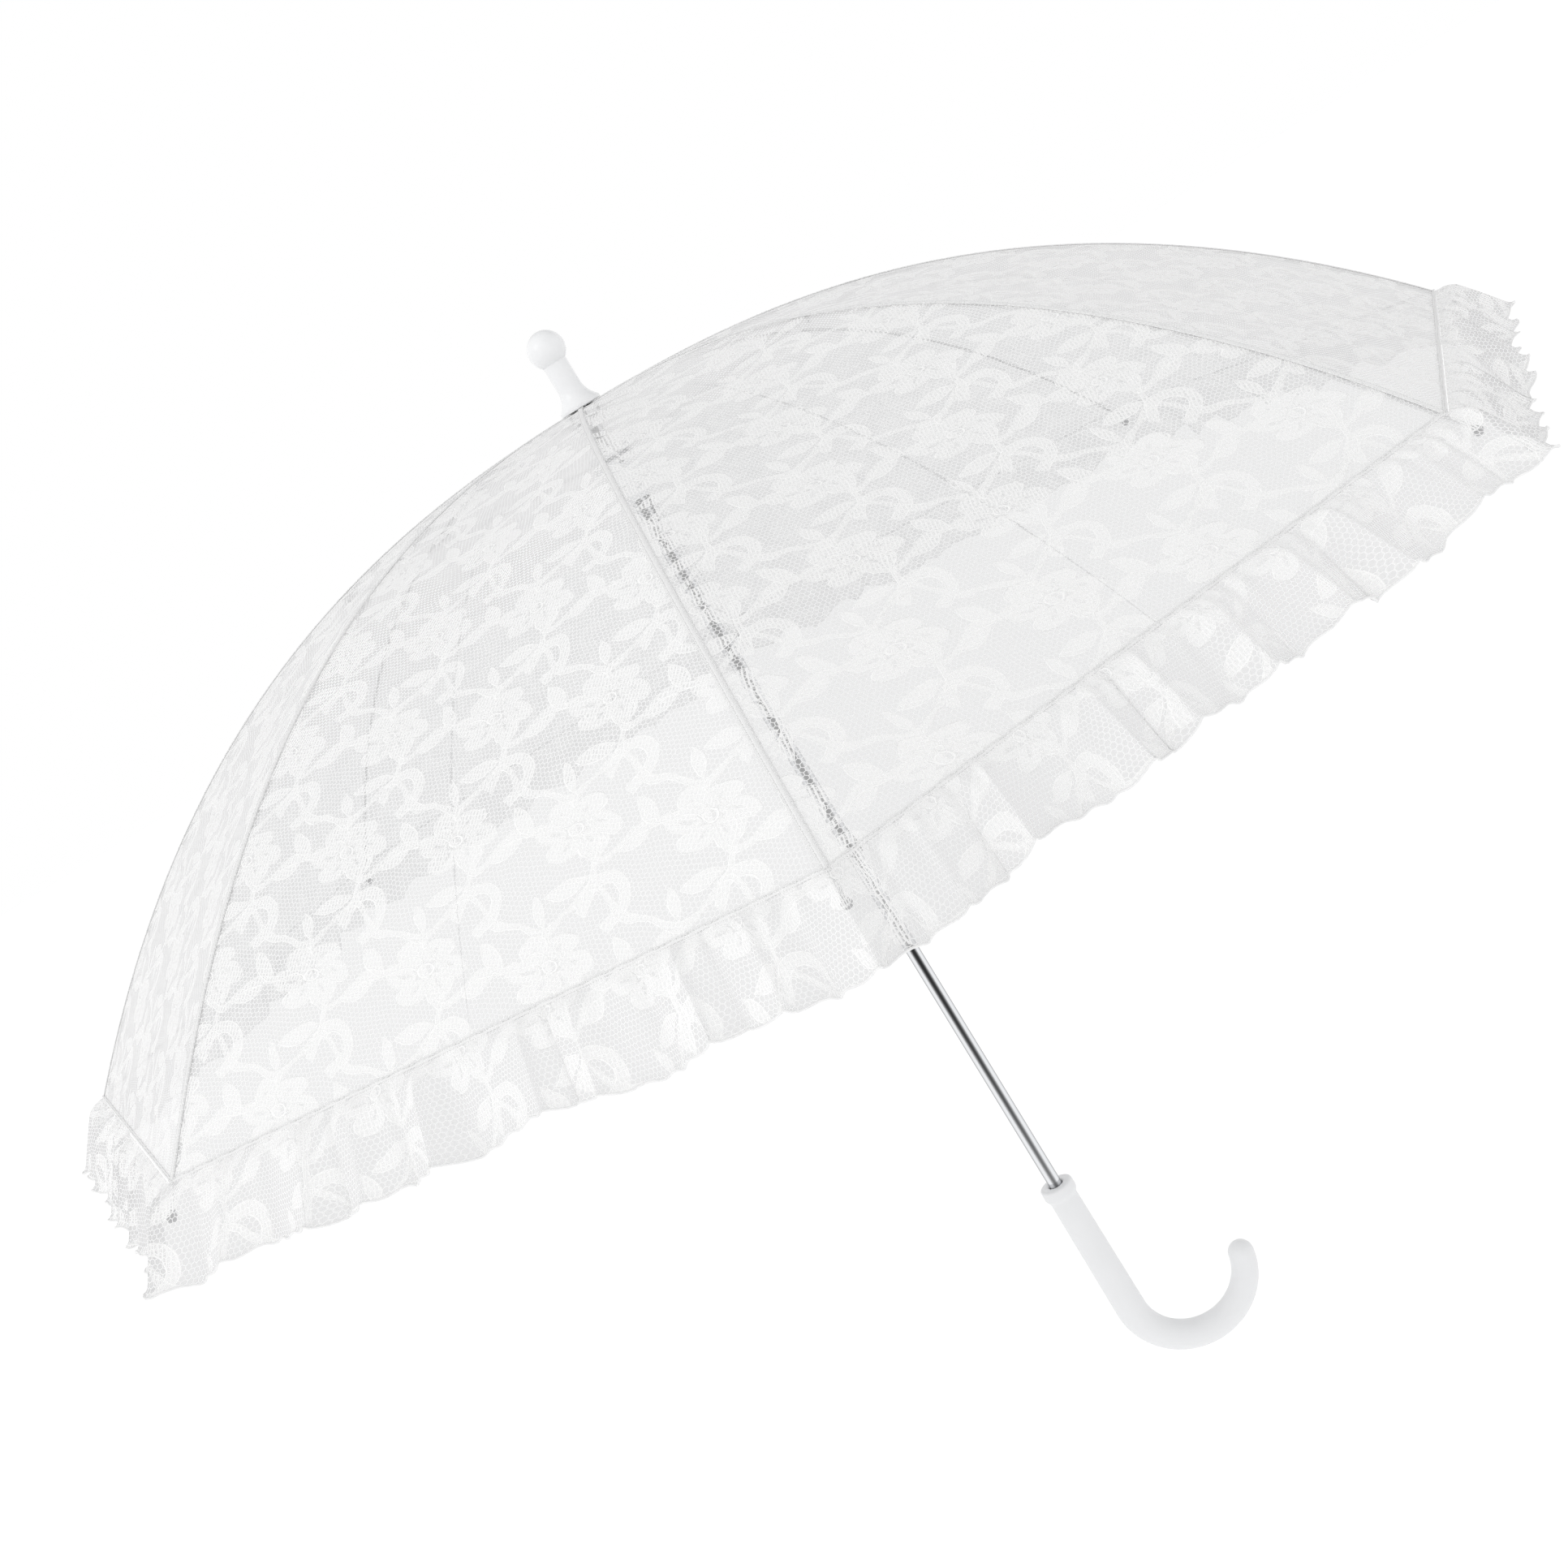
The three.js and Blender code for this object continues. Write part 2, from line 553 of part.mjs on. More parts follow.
// A closed sheet between rows of points on its outer and on its inner face.
function sheetSolid(outerRows, innerRows) {
  const wide = outerRows[0].length;
  const count = outerRows.length * wide;
  const index = [];
  const quad = (a, b, c, d) => index.push(a, b, c, a, c, d);
  for (let i = 0; i < outerRows.length - 1; i += 1) {
    for (let k = 0; k < wide - 1; k += 1) {
      const a = i * wide + k;
      quad(a, a + 1, a + wide + 1, a + wide);
      quad(count + a + wide, count + a + wide + 1, count + a + 1, count + a);
    }
    const left = i * wide;
    const right = left + wide - 1;
    quad(left, left + wide, count + left + wide, count + left);
    quad(right + wide, right, count + right, count + right + wide);
  }
  const last = (outerRows.length - 1) * wide;
  for (let k = 0; k < wide - 1; k += 1) {
    quad(k + 1, k, count + k, count + k + 1);
    quad(last + k, last + k + 1, count + last + k + 1, count + last + k);
  }
  const geometry = new THREE.BufferGeometry();
  const points = [...outerRows, ...innerRows].flat();
  const positions = points.flatMap((point) => [point.x, point.y, point.z]);
  geometry.setAttribute('position', new THREE.Float32BufferAttribute(positions, 3));
  geometry.setIndex(index);
  geometry.computeVertexNormals();
  return outwardFacing(geometry);
}

function canopyGore() {
  const outer = [];
  const inner = [];
  for (let i = 0; i <= GORE_STEPS; i += 1) {
    const radius = COVER_HOLE_RADIUS + (CANOPY_RADIUS - COVER_HOLE_RADIUS) * (i / GORE_STEPS);
    const under = underCover(radius, COVER_THICKNESS);
    outer.push(goreRow(radius, coverHeight(radius)));
    inner.push(goreRow(under.x, under.y));
  }
  return sheetSolid(outer, inner);
}

// How far outside the rim the frill hangs, to clear the balls on the ribs' tips.
function frillStandOff(slope) {
  const ball = tipCentre();
  const outwards = (ball.x - CANOPY_RADIUS) * Math.sin(slope);
  const upwards = (ball.z - coverHeight(CANOPY_RADIUS)) * Math.cos(slope);
  return outwards + upwards + TIP_BALL_RADIUS + TIP_TO_FRILL;
}

function frill() {
  const slope = THREE.MathUtils.degToRad(FRILL_SLOPE);
  const near = frillStandOff(slope);
  const face = (share, standOff) => goreRow(
    CANOPY_RADIUS + FRILL_WIDTH * share * Math.cos(slope) + standOff * Math.sin(slope),
    coverHeight(CANOPY_RADIUS) - FRILL_WIDTH * share * Math.sin(slope) + standOff * Math.cos(slope),
  );
  const rows = (standOff) => [0, 0.5, 1].map((share) => face(share, standOff));
  return sheetSolid(rows(near + FRILL_THICKNESS), rows(near));
}

// Assembly.

addPiece('shaft_tube', shaftTube(), CHROME);
addPiece('ferrule', ferrule(), WHITE_PLASTIC);
addPiece('canopy_washer', coverWasher(), WHITE_PLASTIC);
addPiece('crown', crown(), WHITE_PLASTIC);
addPiece('crown_wire', ringWire(RIB_PIVOT_RADIUS, RIB_PIVOT_HEIGHT), WIRE_STEEL);
addPiece('runner', runner(), WHITE_PLASTIC);
const runnerWireRadius = Math.hypot(STRETCHER_PIVOT_RADIUS, STRETCHER_OFFSET);
addPiece('runner_wire', ringWire(runnerWireRadius, STRETCHER_PIVOT_HEIGHT), WIRE_STEEL);
addPiece('top_catch', catchTongue(topCatchHeight(), 1), CHROME);
addPiece('bottom_catch', catchTongue(bottomCatchHeight(), -1), CHROME);
addPiece('handle', handle(), GRIP_PLASTIC);

for (let i = 0; i < RIB_COUNT; i += 1) {
  const turn = -Math.PI / 2 + i * 2 * HALF_STEP;
  addPiece(`rib_${i + 1}`, rib(), WHITE_COATING, turn);
  addPiece(`rib_tip_${i + 1}`, ribTip(), DARK_METAL, turn);
  addPiece(`rib_clip_${i + 1}`, ribClip(), WHITE_COATING, turn);
  addPiece(`stretcher_${i + 1}`, stretcher(), WHITE_COATING, turn);
  addPiece(`canopy_gore_${i + 1}`, canopyGore(), LACE, turn);
  addPiece(`frill_${i + 1}`, frill(), LACE, turn);
}

export default group;
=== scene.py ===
import json
import math

import bmesh
import bpy
from bpy.props import FloatProperty, FloatVectorProperty, IntProperty, PointerProperty
from mathutils import Matrix, Vector


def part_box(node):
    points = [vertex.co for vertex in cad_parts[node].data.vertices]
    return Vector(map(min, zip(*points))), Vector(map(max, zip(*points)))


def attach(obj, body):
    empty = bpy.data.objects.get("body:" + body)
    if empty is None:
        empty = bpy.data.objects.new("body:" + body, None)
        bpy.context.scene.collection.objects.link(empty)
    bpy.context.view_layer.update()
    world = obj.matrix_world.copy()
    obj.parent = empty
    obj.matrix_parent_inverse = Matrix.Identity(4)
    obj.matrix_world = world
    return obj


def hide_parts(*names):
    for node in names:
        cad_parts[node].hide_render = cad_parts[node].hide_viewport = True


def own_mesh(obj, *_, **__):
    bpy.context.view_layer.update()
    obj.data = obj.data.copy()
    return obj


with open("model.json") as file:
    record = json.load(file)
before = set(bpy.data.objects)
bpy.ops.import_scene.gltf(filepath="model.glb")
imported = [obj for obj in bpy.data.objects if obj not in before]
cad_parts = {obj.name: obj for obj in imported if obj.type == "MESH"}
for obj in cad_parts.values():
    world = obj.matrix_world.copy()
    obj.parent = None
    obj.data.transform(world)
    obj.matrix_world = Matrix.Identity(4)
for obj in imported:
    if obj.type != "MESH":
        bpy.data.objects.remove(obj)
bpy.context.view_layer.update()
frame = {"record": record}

bl_info = {
    "name": "Lace parasol",
    "version": (1, 0, 0),
    "blender": (4, 5, 0),
    "location": "View3D > Sidebar > Parasol",
    "description": "Builds a lace parasol on its packed frame, with its cloth, wires and finishes",
    "category": "Add Mesh",
}

MM = 0.001
RIBS = 8
HALF_STEP = math.pi / RIBS

# The cover's rule, as the frame has it.
COVER_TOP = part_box("canopy_gore_1")[1][2]
RIM_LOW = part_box("canopy_gore_1")[0][2]
RIM_RADIUS = -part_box("canopy_gore_1")[0][1]
COVER_SHEET = 0.8 * MM
PIECE_GAP = 0.3 * MM  # between pieces that touch in the real object
RIM_SLOPE_FALL = 0.56 * MM  # the gore's inner face below its outer one, at the rim
COVER_DEPTH = COVER_TOP - RIM_LOW - RIM_SLOPE_FALL
BOW_POWER = 2.38
RIB_BELOW = (0.8 + 0.5 + 1.1) * MM  # the cover's sheet, its clearance and the rib's radius


def joint_named(name):
    return next(joint for joint in frame["record"]["behaviour"]["joints"] if joint["name"] == name)


RIB_PIVOT = Vector(joint_named("rib_hinge_1")["pos_m"])
STRETCHER_PIVOT = Vector(joint_named("stretcher_hinge_1")["pos_m"])
SHAFT_LOW, SHAFT_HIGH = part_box("shaft_tube")
SHAFT_RADIUS = SHAFT_HIGH[0]
BORE_RADIUS = SHAFT_RADIUS + PIECE_GAP
SHAFT_WALL = 0.8 * MM
CLOTH_MAP = "cloth"
RUNNER_LOW, RUNNER_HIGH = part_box("runner")
CROWN_LOW, CROWN_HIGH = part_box("crown")
HANDLE_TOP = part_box("handle")[1][2]


def rib_turn(number):
    """The rib's direction about the shaft, from +X."""
    return -math.pi / 2 + (number - 1) * 2 * HALF_STEP


def tangent(number):
    turn = rib_turn(number)
    return (-math.sin(turn), math.cos(turn), 0.0)


def cover_height(radius):
    return COVER_TOP - COVER_DEPTH * (radius / RIM_RADIUS) ** BOW_POWER


def cover_slope(radius):
    share = (radius / RIM_RADIUS) ** (BOW_POWER - 1)
    return -COVER_DEPTH * BOW_POWER * share / RIM_RADIUS


def under_cover(radius, depth):
    slope = cover_slope(radius)
    length = math.hypot(1, slope)
    return radius + slope * depth / length, cover_height(radius) - depth / length


# Sizes and colours that a user would change.


class ParasolCloth(bpy.types.PropertyGroup):
    thread_colour: FloatVectorProperty(
        name="Thread", description="Colour of the lace's thread", subtype="COLOR", size=3,
        min=0, max=1, default=(0.98, 0.98, 0.977))
    net_colour: FloatVectorProperty(
        name="Net", description="Colour of the net's threads", subtype="COLOR", size=3,
        min=0, max=1, default=(0.9, 0.9, 0.9))
    # The finest mesh is real cover, but its grey is painted shade: it stands in for the shaded inside of the
    # cover seen through the lace.
    film_painted_shade: FloatVectorProperty(
        name="Mesh", description="Colour of the finest mesh between them", subtype="COLOR", size=3,
        min=0, max=1, default=(0.66, 0.66, 0.665))
    repeat: FloatProperty(
        name="Repeat", description="Width of one repeat of the lace", subtype="DISTANCE",
        unit="LENGTH", min=0.02, default=0.064)
    net: FloatProperty(
        name="Net cell", description="Width of one cell of the net", subtype="DISTANCE",
        unit="LENGTH", min=0.001, default=0.0023)
    bias: FloatProperty(
        name="Bias", description="Turn of the lace on each panel", subtype="ANGLE", unit="ROTATION",
        default=math.radians(22))
    frill_width: FloatProperty(
        name="Frill", description="Width of the gathered frill", subtype="DISTANCE", unit="LENGTH",
        min=0.01, default=0.042)
    flute: FloatProperty(
        name="Flute", description="Width of one flute of the frill", subtype="DISTANCE",
        unit="LENGTH", min=0.005, default=0.036)
    flute_depth: FloatProperty(
        name="Flute depth", description="How far a flute stands out at the hem", subtype="DISTANCE",
        unit="LENGTH", min=0, default=0.0052)


class ParasolFrame(bpy.types.PropertyGroup):
    rib_radius: FloatProperty(
        name="Rib", description="Radius of the rib wire", subtype="DISTANCE", unit="LENGTH",
        min=0.0003, default=0.0011)
    stretcher_radius: FloatProperty(
        name="Stretcher", description="Radius of the stretcher wire", subtype="DISTANCE",
        unit="LENGTH", min=0.0003, default=0.00095)
    ring_radius: FloatProperty(
        name="Ring wire", description="Radius of the wire rings", subtype="DISTANCE", unit="LENGTH",
        min=0.0001, default=0.0005)
    round_steps: IntProperty(
        name="Round steps", description="Faces round a turned piece", min=12, default=64)
    plastic_colour: FloatVectorProperty(
        name="Plastic", description="Colour of the moulded pieces", subtype="COLOR", size=3,
        min=0, max=1, default=(0.9, 0.905, 0.915))
    handle_colour: FloatVectorProperty(
        name="Handle", description="Colour of the handle", subtype="COLOR", size=3,
        min=0, max=1, default=(0.81, 0.815, 0.825))


def cloth_settings():
    return bpy.context.scene.parasol_cloth


def frame_settings():
    return bpy.context.scene.parasol_frame


# Small helpers for meshes.


def add_object(name, mesh, material):
    obj = bpy.data.objects.new(name, mesh)
    bpy.context.collection.objects.link(obj)
    mesh.materials.append(material)
    return obj


def mesh_from(name, points, faces, material, smooth=True):
    mesh = bpy.data.meshes.new(name)
    mesh.from_pydata([tuple(point) for point in points], [], faces)
    mesh.polygons.foreach_set("use_smooth", [smooth] * len(mesh.polygons))
    mesh.update()
    return add_object(name, mesh, material)


def set_outward(obj):
    """Merges doubles and turns every face outwards."""
    shape = bmesh.new()
    shape.from_mesh(obj.data)
    bmesh.ops.remove_doubles(shape, verts=shape.verts, dist=1e-6)
    bmesh.ops.recalc_face_normals(shape, faces=shape.faces)
    shape.to_mesh(obj.data)
    shape.free()
    return obj


def keep_edges_crisp(obj, angle=math.radians(35)):
    """Marks the edges over this angle as sharp."""
    shape = bmesh.new()
    shape.from_mesh(obj.data)
    for edge in shape.edges:
        edge.smooth = not (edge.is_manifold and edge.calc_face_angle(0) > angle)
    shape.to_mesh(obj.data)
    shape.free()
    return obj


def turned(name, profile, material, steps=None):
    """A solid of revolution about Z from (radius, height) points, closed at the axis or on itself."""
    steps = steps or frame_settings().round_steps
    points, faces = [], []
    for radius, height in profile:
        for k in range(steps):
            around = 2 * math.pi * k / steps
            points.append((radius * math.cos(around), radius * math.sin(around), height))
    rows = len(profile)
    closed = profile[0][0] > 0 and profile[-1][0] > 0
    for i in range(rows if closed else rows - 1):
        for k in range(steps):
            near, far = i * steps, (i + 1) % rows * steps
            after = (k + 1) % steps
            faces.append((near + k, near + after, far + after, far + k))
    obj = mesh_from(name, points, faces, material)
    return keep_edges_crisp(set_outward(obj))


def rounded(profile, size, steps=4):
    """The profile with each inner corner replaced by a small arc."""
    result = [profile[0]]
    for before, corner, after in zip(profile, profile[1:], profile[2:]):
        here = Vector(corner)
        back, ahead = Vector(before) - here, Vector(after) - here
        reach = min(size, back.length * 0.45, ahead.length * 0.45)
        start = here + back.normalized() * reach
        end = here + ahead.normalized() * reach
        for i in range(steps + 1):
            share = i / steps
            spot = start * (1 - share) ** 2 + here * 2 * share * (1 - share) + end * share**2
            result.append(tuple(spot))
    result.append(profile[-1])
    return result


def ball_outline(ball, neck, middle, steps):
    """Points of a ball's outline, from where it meets a neck below it up to its top."""
    start = math.pi - math.asin(neck / ball)
    angles = [start * (1 - i / steps) for i in range(steps)]
    points = [(ball * math.sin(angle), middle + ball * math.cos(angle)) for angle in angles]
    return [*points, (0, middle + ball)]


def lofted(name, rings, material):
    """A closed solid through rings of points, with its ends filled."""
    sides = len(rings[0])
    points = [point for ring in rings for point in ring]
    faces = [tuple(range(sides))]
    for i in range(len(rings) - 1):
        for k in range(sides):
            after = (k + 1) % sides
            near, far = i * sides, (i + 1) * sides
            faces.append((near + k, near + after, far + after, far + k))
    faces.append(tuple(range((len(rings) - 1) * sides, len(rings) * sides)))
    return keep_edges_crisp(set_outward(mesh_from(name, points, faces, material)))


def place(obj, number):
    """Turns a piece that was made along +X to its rib's place."""
    obj.data.transform(Matrix.Rotation(rib_turn(number), 4, "Z"))
    obj.data.update()
    return obj


def finish_modifiers(obj):
    """Replaces the mesh by what its modifiers make, and removes them."""
    ready = bpy.context.evaluated_depsgraph_get()
    mesh = bpy.data.meshes.new_from_object(obj.evaluated_get(ready), depsgraph=ready)
    obj.modifiers.clear()
    obj.data = mesh
    return obj


def join_into(target, others):
    """Adds the others' geometry to the target's mesh and deletes them."""
    shape = bmesh.new()
    shape.from_mesh(target.data)
    for other in others:
        shape.from_mesh(other.data)
        bpy.data.objects.remove(other)
    shape.to_mesh(target.data)
    shape.free()
    return target


# Wires and stitches: node trees that follow a path.


def group_ends(tree, inputs, outputs):
    """Gives a node group its sockets, and returns its two end nodes."""
    for label, kind, value in inputs:
        socket = tree.interface.new_socket(label, in_out="INPUT", socket_type=kind)
        if value is not None:
            socket.default_value = value
    for label, kind in outputs:
        tree.interface.new_socket(label, in_out="OUTPUT", socket_type=kind)
    return tree.nodes.new("NodeGroupInput"), tree.nodes.new("NodeGroupOutput")


def new_tree(name, inputs):
    """A geometry node tree with a Geometry in and out, and the named inputs."""
    tree = bpy.data.node_groups.new(name, "GeometryNodeTree")
    kind = "NodeSocketGeometry"
    start, end = group_ends(tree, [("Geometry", kind, None), *inputs], [("Geometry", kind)])
    return tree, start, end


def set_input(modifier, label, value):
    for item in modifier.node_group.interface.items_tree:
        if item.name == label and item.in_out == "INPUT":
            modifier[item.identifier] = value


def link_all(tree, links):
    """Joins sockets, each link given as node, output, node, input."""
    for source, output, target, entry in links:
        tree.links.new(source.outputs[output], target.inputs[entry])


def wire_tree():
    """Sweeps a round section along the edges that come in."""
    if "Parasol wire" in bpy.data.node_groups:
        return bpy.data.node_groups["Parasol wire"]
    tree, start, end = new_tree("Parasol wire", [
        ("Radius", "NodeSocketFloat", 0.001),
        ("Sides", "NodeSocketInt", 12),
        ("Material", "NodeSocketMaterial", None),
    ])
    curve = tree.nodes.new("GeometryNodeMeshToCurve")
    section = tree.nodes.new("GeometryNodeCurvePrimitiveCircle")
    sweep = tree.nodes.new("GeometryNodeCurveToMesh")
    sweep.inputs["Fill Caps"].default_value = True
    smooth = tree.nodes.new("GeometryNodeSetShadeSmooth")
    paint = tree.nodes.new("GeometryNodeSetMaterial")
    link_all(tree, [
        (start, "Geometry", curve, "Mesh"),
        (start, "Radius", section, "Radius"),
        (start, "Sides", section, "Resolution"),
        (curve, "Curve", sweep, "Curve"),
        (section, "Curve", sweep, "Profile Curve"),
        (sweep, "Mesh", smooth, "Geometry"),
        (smooth, "Geometry", paint, "Geometry"),
        (start, "Material", paint, "Material"),
        (paint, "Geometry", end, "Geometry"),
    ])
    return tree


def stitch_tree():
    """Lays one small rounded stitch after another along the edges that come in."""
    if "Parasol stitches" in bpy.data.node_groups:
        return bpy.data.node_groups["Parasol stitches"]
    tree, start, end = new_tree("Parasol stitches", [
        ("Pitch", "NodeSocketFloat", 0.0026),
        ("Length", "NodeSocketFloat", 0.0019),
        ("Radius", "NodeSocketFloat", 0.00022),
        ("Wander", "NodeSocketFloat", 0.06),
        ("Seed", "NodeSocketInt", 3),
        ("Material", "NodeSocketMaterial", None),
    ])
    curve = tree.nodes.new("GeometryNodeMeshToCurve")
    spots = tree.nodes.new("GeometryNodeCurveToPoints")
    spots.mode = "LENGTH"
    thread = tree.nodes.new("GeometryNodeMeshCylinder")
    thread.inputs["Vertices"].default_value = 6
    thread.inputs["Side Segments"].default_value = 1
    turn = tree.nodes.new("FunctionNodeAlignRotationToVector")
    turn.axis = "Z"
    tilt = tree.nodes.new("FunctionNodeRandomValue")
    tilt.data_type = "FLOAT_VECTOR"
    flip = tree.nodes.new("ShaderNodeMath")
    flip.operation = "MULTIPLY"
    flip.inputs[1].default_value = -1
    add = tree.nodes.new("FunctionNodeRotateRotation")
    lay = tree.nodes.new("GeometryNodeInstanceOnPoints")
    smooth = tree.nodes.new("GeometryNodeSetShadeSmooth")
    real = tree.nodes.new("GeometryNodeRealizeInstances")
    paint = tree.nodes.new("GeometryNodeSetMaterial")
    link_all(tree, [
        (start, "Geometry", curve, "Mesh"),
        (curve, "Curve", spots, "Curve"),
        (start, "Pitch", spots, "Length"),
        (start, "Radius", thread, "Radius"),
        (start, "Length", thread, "Depth"),
        (spots, "Tangent", turn, "Vector"),
        (start, "Wander", flip, 0),
        (flip, "Value", tilt, "Min"),
        (start, "Wander", tilt, "Max"),
        (start, "Seed", tilt, "Seed"),
        (turn, "Rotation", add, "Rotation"),
        (tilt, "Value", add, "Rotate By"),
        (spots, "Points", lay, "Points"),
        (thread, "Mesh", lay, "Instance"),
        (add, "Rotation", lay, "Rotation"),
        (lay, "Instances", real, "Geometry"),
        (real, "Geometry", smooth, "Geometry"),
        (smooth, "Geometry", paint, "Geometry"),
        (start, "Material", paint, "Material"),
        (paint, "Geometry", end, "Geometry"),
    ])
    return tree


def along_path(name, tree, points, material, closed=False, **inputs):
    """A piece that a node tree makes along the points, as a plain mesh."""
    count = len(points)
    edges = [(i, (i + 1) % count) for i in range(count if closed else count - 1)]
    mesh = bpy.data.meshes.new(name)
    mesh.from_pydata([tuple(point) for point in points], edges, [])
    obj = add_object(name, mesh, material)
    modifier = obj.modifiers.new("Build", "NODES")
    modifier.node_group = tree
    for label, value in {**inputs, "Material": material}.items():
        set_input(modifier, label, value)
    return finish_modifiers(obj)


def wire(name, points, radius, material, closed=False, sides=12):
    obj = along_path(name, wire_tree(), points, material, closed, Radius=radius, Sides=sides)
    return keep_edges_crisp(set_outward(obj))


# Shader groups: what more than one finish uses.


class Maker:
    """Adds nodes to one shader tree, and wires numbers and sockets alike."""

    def __init__(self, tree):
        self.tree = tree

    def feed(self, socket, value):
        if isinstance(value, bpy.types.NodeSocket):
            self.tree.links.new(value, socket)
        else:
            socket.default_value = value

    def math(self, operation, first, second=None, third=None):
        node = self.tree.nodes.new("ShaderNodeMath")
        node.operation = operation
        for socket, value in zip(node.inputs, (first, second, third)):
            if value is not None:
                self.feed(socket, value)
        return node.outputs["Value"]

    def add(self, first, second):
        return self.math("ADD", first, second)

    def less(self, first, second):
        """The first less the second."""
        return self.math("SUBTRACT", first, second)

    def times(self, first, second):
        return self.math("MULTIPLY", first, second)

    def size_of(self, value):
        return self.math("ABSOLUTE", value)

    def vector(self, operation, first, second=None):
        node = self.tree.nodes.new("ShaderNodeVectorMath")
        node.operation = operation
        for socket, value in zip(node.inputs, (first, second)):
            if value is not None:
                self.feed(socket, value)
        return node.outputs["Value" if operation in {"LENGTH", "DOT_PRODUCT"} else "Vector"]

    def join(self, x, y, z=0.0):
        node = self.tree.nodes.new("ShaderNodeCombineXYZ")
        for socket, value in zip(node.inputs, (x, y, z)):
            self.feed(socket, value)
        return node.outputs["Vector"]

    def mixed(self, share, first, second):
        """From the first colour to the second as share goes from 0 to 1."""
        node = self.tree.nodes.new("ShaderNodeMix")
        node.data_type = "RGBA"
        self.feed(node.inputs[0], share)
        # Inputs 6 and 7 are the Mix node's two colours.
        for socket, colour in zip((node.inputs[6], node.inputs[7]), (first, second)):
            self.feed(socket, colour if isinstance(colour, bpy.types.NodeSocket) else (*colour, 1))
        return node.outputs[2]

    def split(self, vector):
        node = self.tree.nodes.new("ShaderNodeSeparateXYZ")
        self.feed(node.inputs["Vector"], vector)
        return node.outputs["X"], node.outputs["Y"]

    def turned(self, vector, angle):
        node = self.tree.nodes.new("ShaderNodeVectorRotate")
        node.rotation_type = "Z_AXIS"
        self.feed(node.inputs["Vector"], vector)
        self.feed(node.inputs["Angle"], angle)
        return node.outputs["Vector"]

    def noise(self, vector, scale, detail=2.0):
        node = self.tree.nodes.new("ShaderNodeTexNoise")
        self.feed(node.inputs["Vector"], vector)
        node.inputs["Scale"].default_value = scale
        node.inputs["Detail"].default_value = detail
        return node.outputs["Fac"], node.outputs["Color"]

    def below(self, value, limit, soft):
        """1 where value is under limit, 0 where it is over, with a soft edge."""
        node = self.tree.nodes.new("ShaderNodeMapRange")
        self.feed(node.inputs["Value"], value)
        node.inputs["From Min"].default_value = limit - soft
        node.inputs["From Max"].default_value = limit + soft
        node.inputs["To Min"].default_value = 1
        node.inputs["To Max"].default_value = 0
        return node.outputs["Result"]

    def bump(self, height, distance):
        node = self.tree.nodes.new("ShaderNodeBump")
        self.feed(node.inputs["Height"], height)
        self.feed(node.inputs["Distance"], distance)
        return node.outputs["Normal"]

    def ranged(self, value, low, high, start, end):
        """Carries value from low..high to start..end, smoothly."""
        node = self.tree.nodes.new("ShaderNodeMapRange")
        node.interpolation_type = "SMOOTHSTEP"
        self.feed(node.inputs["Value"], value)
        for label, number in (("From Min", low), ("From Max", high), ("To Min", start), ("To Max", end)):
            node.inputs[label].default_value = number
        return node.outputs["Result"]

    def grey(self, level):
        """A colour with the same level in each of its parts."""
        return self.join(level, level, level)

    def most(self, *values):
        result = values[0]
        for value in values[1:]:
            result = self.math("MAXIMUM", result, value)
        return result

    def cell(self, vector, width, height, x=0.0, y=0.0):
        """Place in a repeat of the pattern, from its own middle, in millimetres."""
        moved = self.vector("SUBTRACT", vector, (x, y, 0))
        share = self.vector("DIVIDE", moved, (width, height, 1))
        part = self.vector("SUBTRACT", self.vector("FRACTION", share), (0.5, 0.5, 0))
        return self.vector("MULTIPLY", part, (width, height, 0))


THREAD_SOFT = 0.05  # softness of a thread's edge, in millimetres
NET_THREAD = 0.2  # half the net's thread, in millimetres
THREAD_RELIEF = 0.08 * MM
FILL_TONE = 0.8  # how far a hatched part goes from the net's colour to the thread's


def net_mask(make, place_mm, width):
    """Threads of a net of hexagons `width` millimetres across."""
    tall = width * math.sqrt(3)
    near = make.cell(place_mm, width, tall)
    other = make.cell(place_mm, width, tall, width / 2, tall / 2)
    choose = make.math("LESS_THAN", make.vector("LENGTH", near), make.vector("LENGTH", other))
    mix = make.tree.nodes.new("ShaderNodeMix")
    mix.data_type = "VECTOR"
    make.feed(mix.inputs["Factor"], choose)
    # Inputs 4 and 5 are the Mix node's two vectors.
    make.feed(mix.inputs[4], other)
    make.feed(mix.inputs[5], near)
    x, y = make.split(make.vector("ABSOLUTE", mix.outputs[1]))
    slant = make.add(make.times(x, 0.5), make.times(y, math.sqrt(3) / 2))
    rim = make.less(width / 2, make.math("MAXIMUM", x, slant))
    return make.below(rim, NET_THREAD, THREAD_SOFT * 1.6)


def leaf_field(make, x, y, length, half_width, blunt=2):
    """Below 0 inside a leaf along X, in millimetres to its edge. Above 2, its ends are blunter."""
    share = make.size_of(make.math("DIVIDE", x, length))
    bow = make.less(1, make.math("POWER", share, blunt))
    return make.less(make.size_of(y), make.times(bow, half_width))


def outline(make, field, half_thread):
    return make.below(make.size_of(field), half_thread, THREAD_SOFT * 2)


def inside(make, field):
    return make.below(field, 0, THREAD_SOFT * 2)


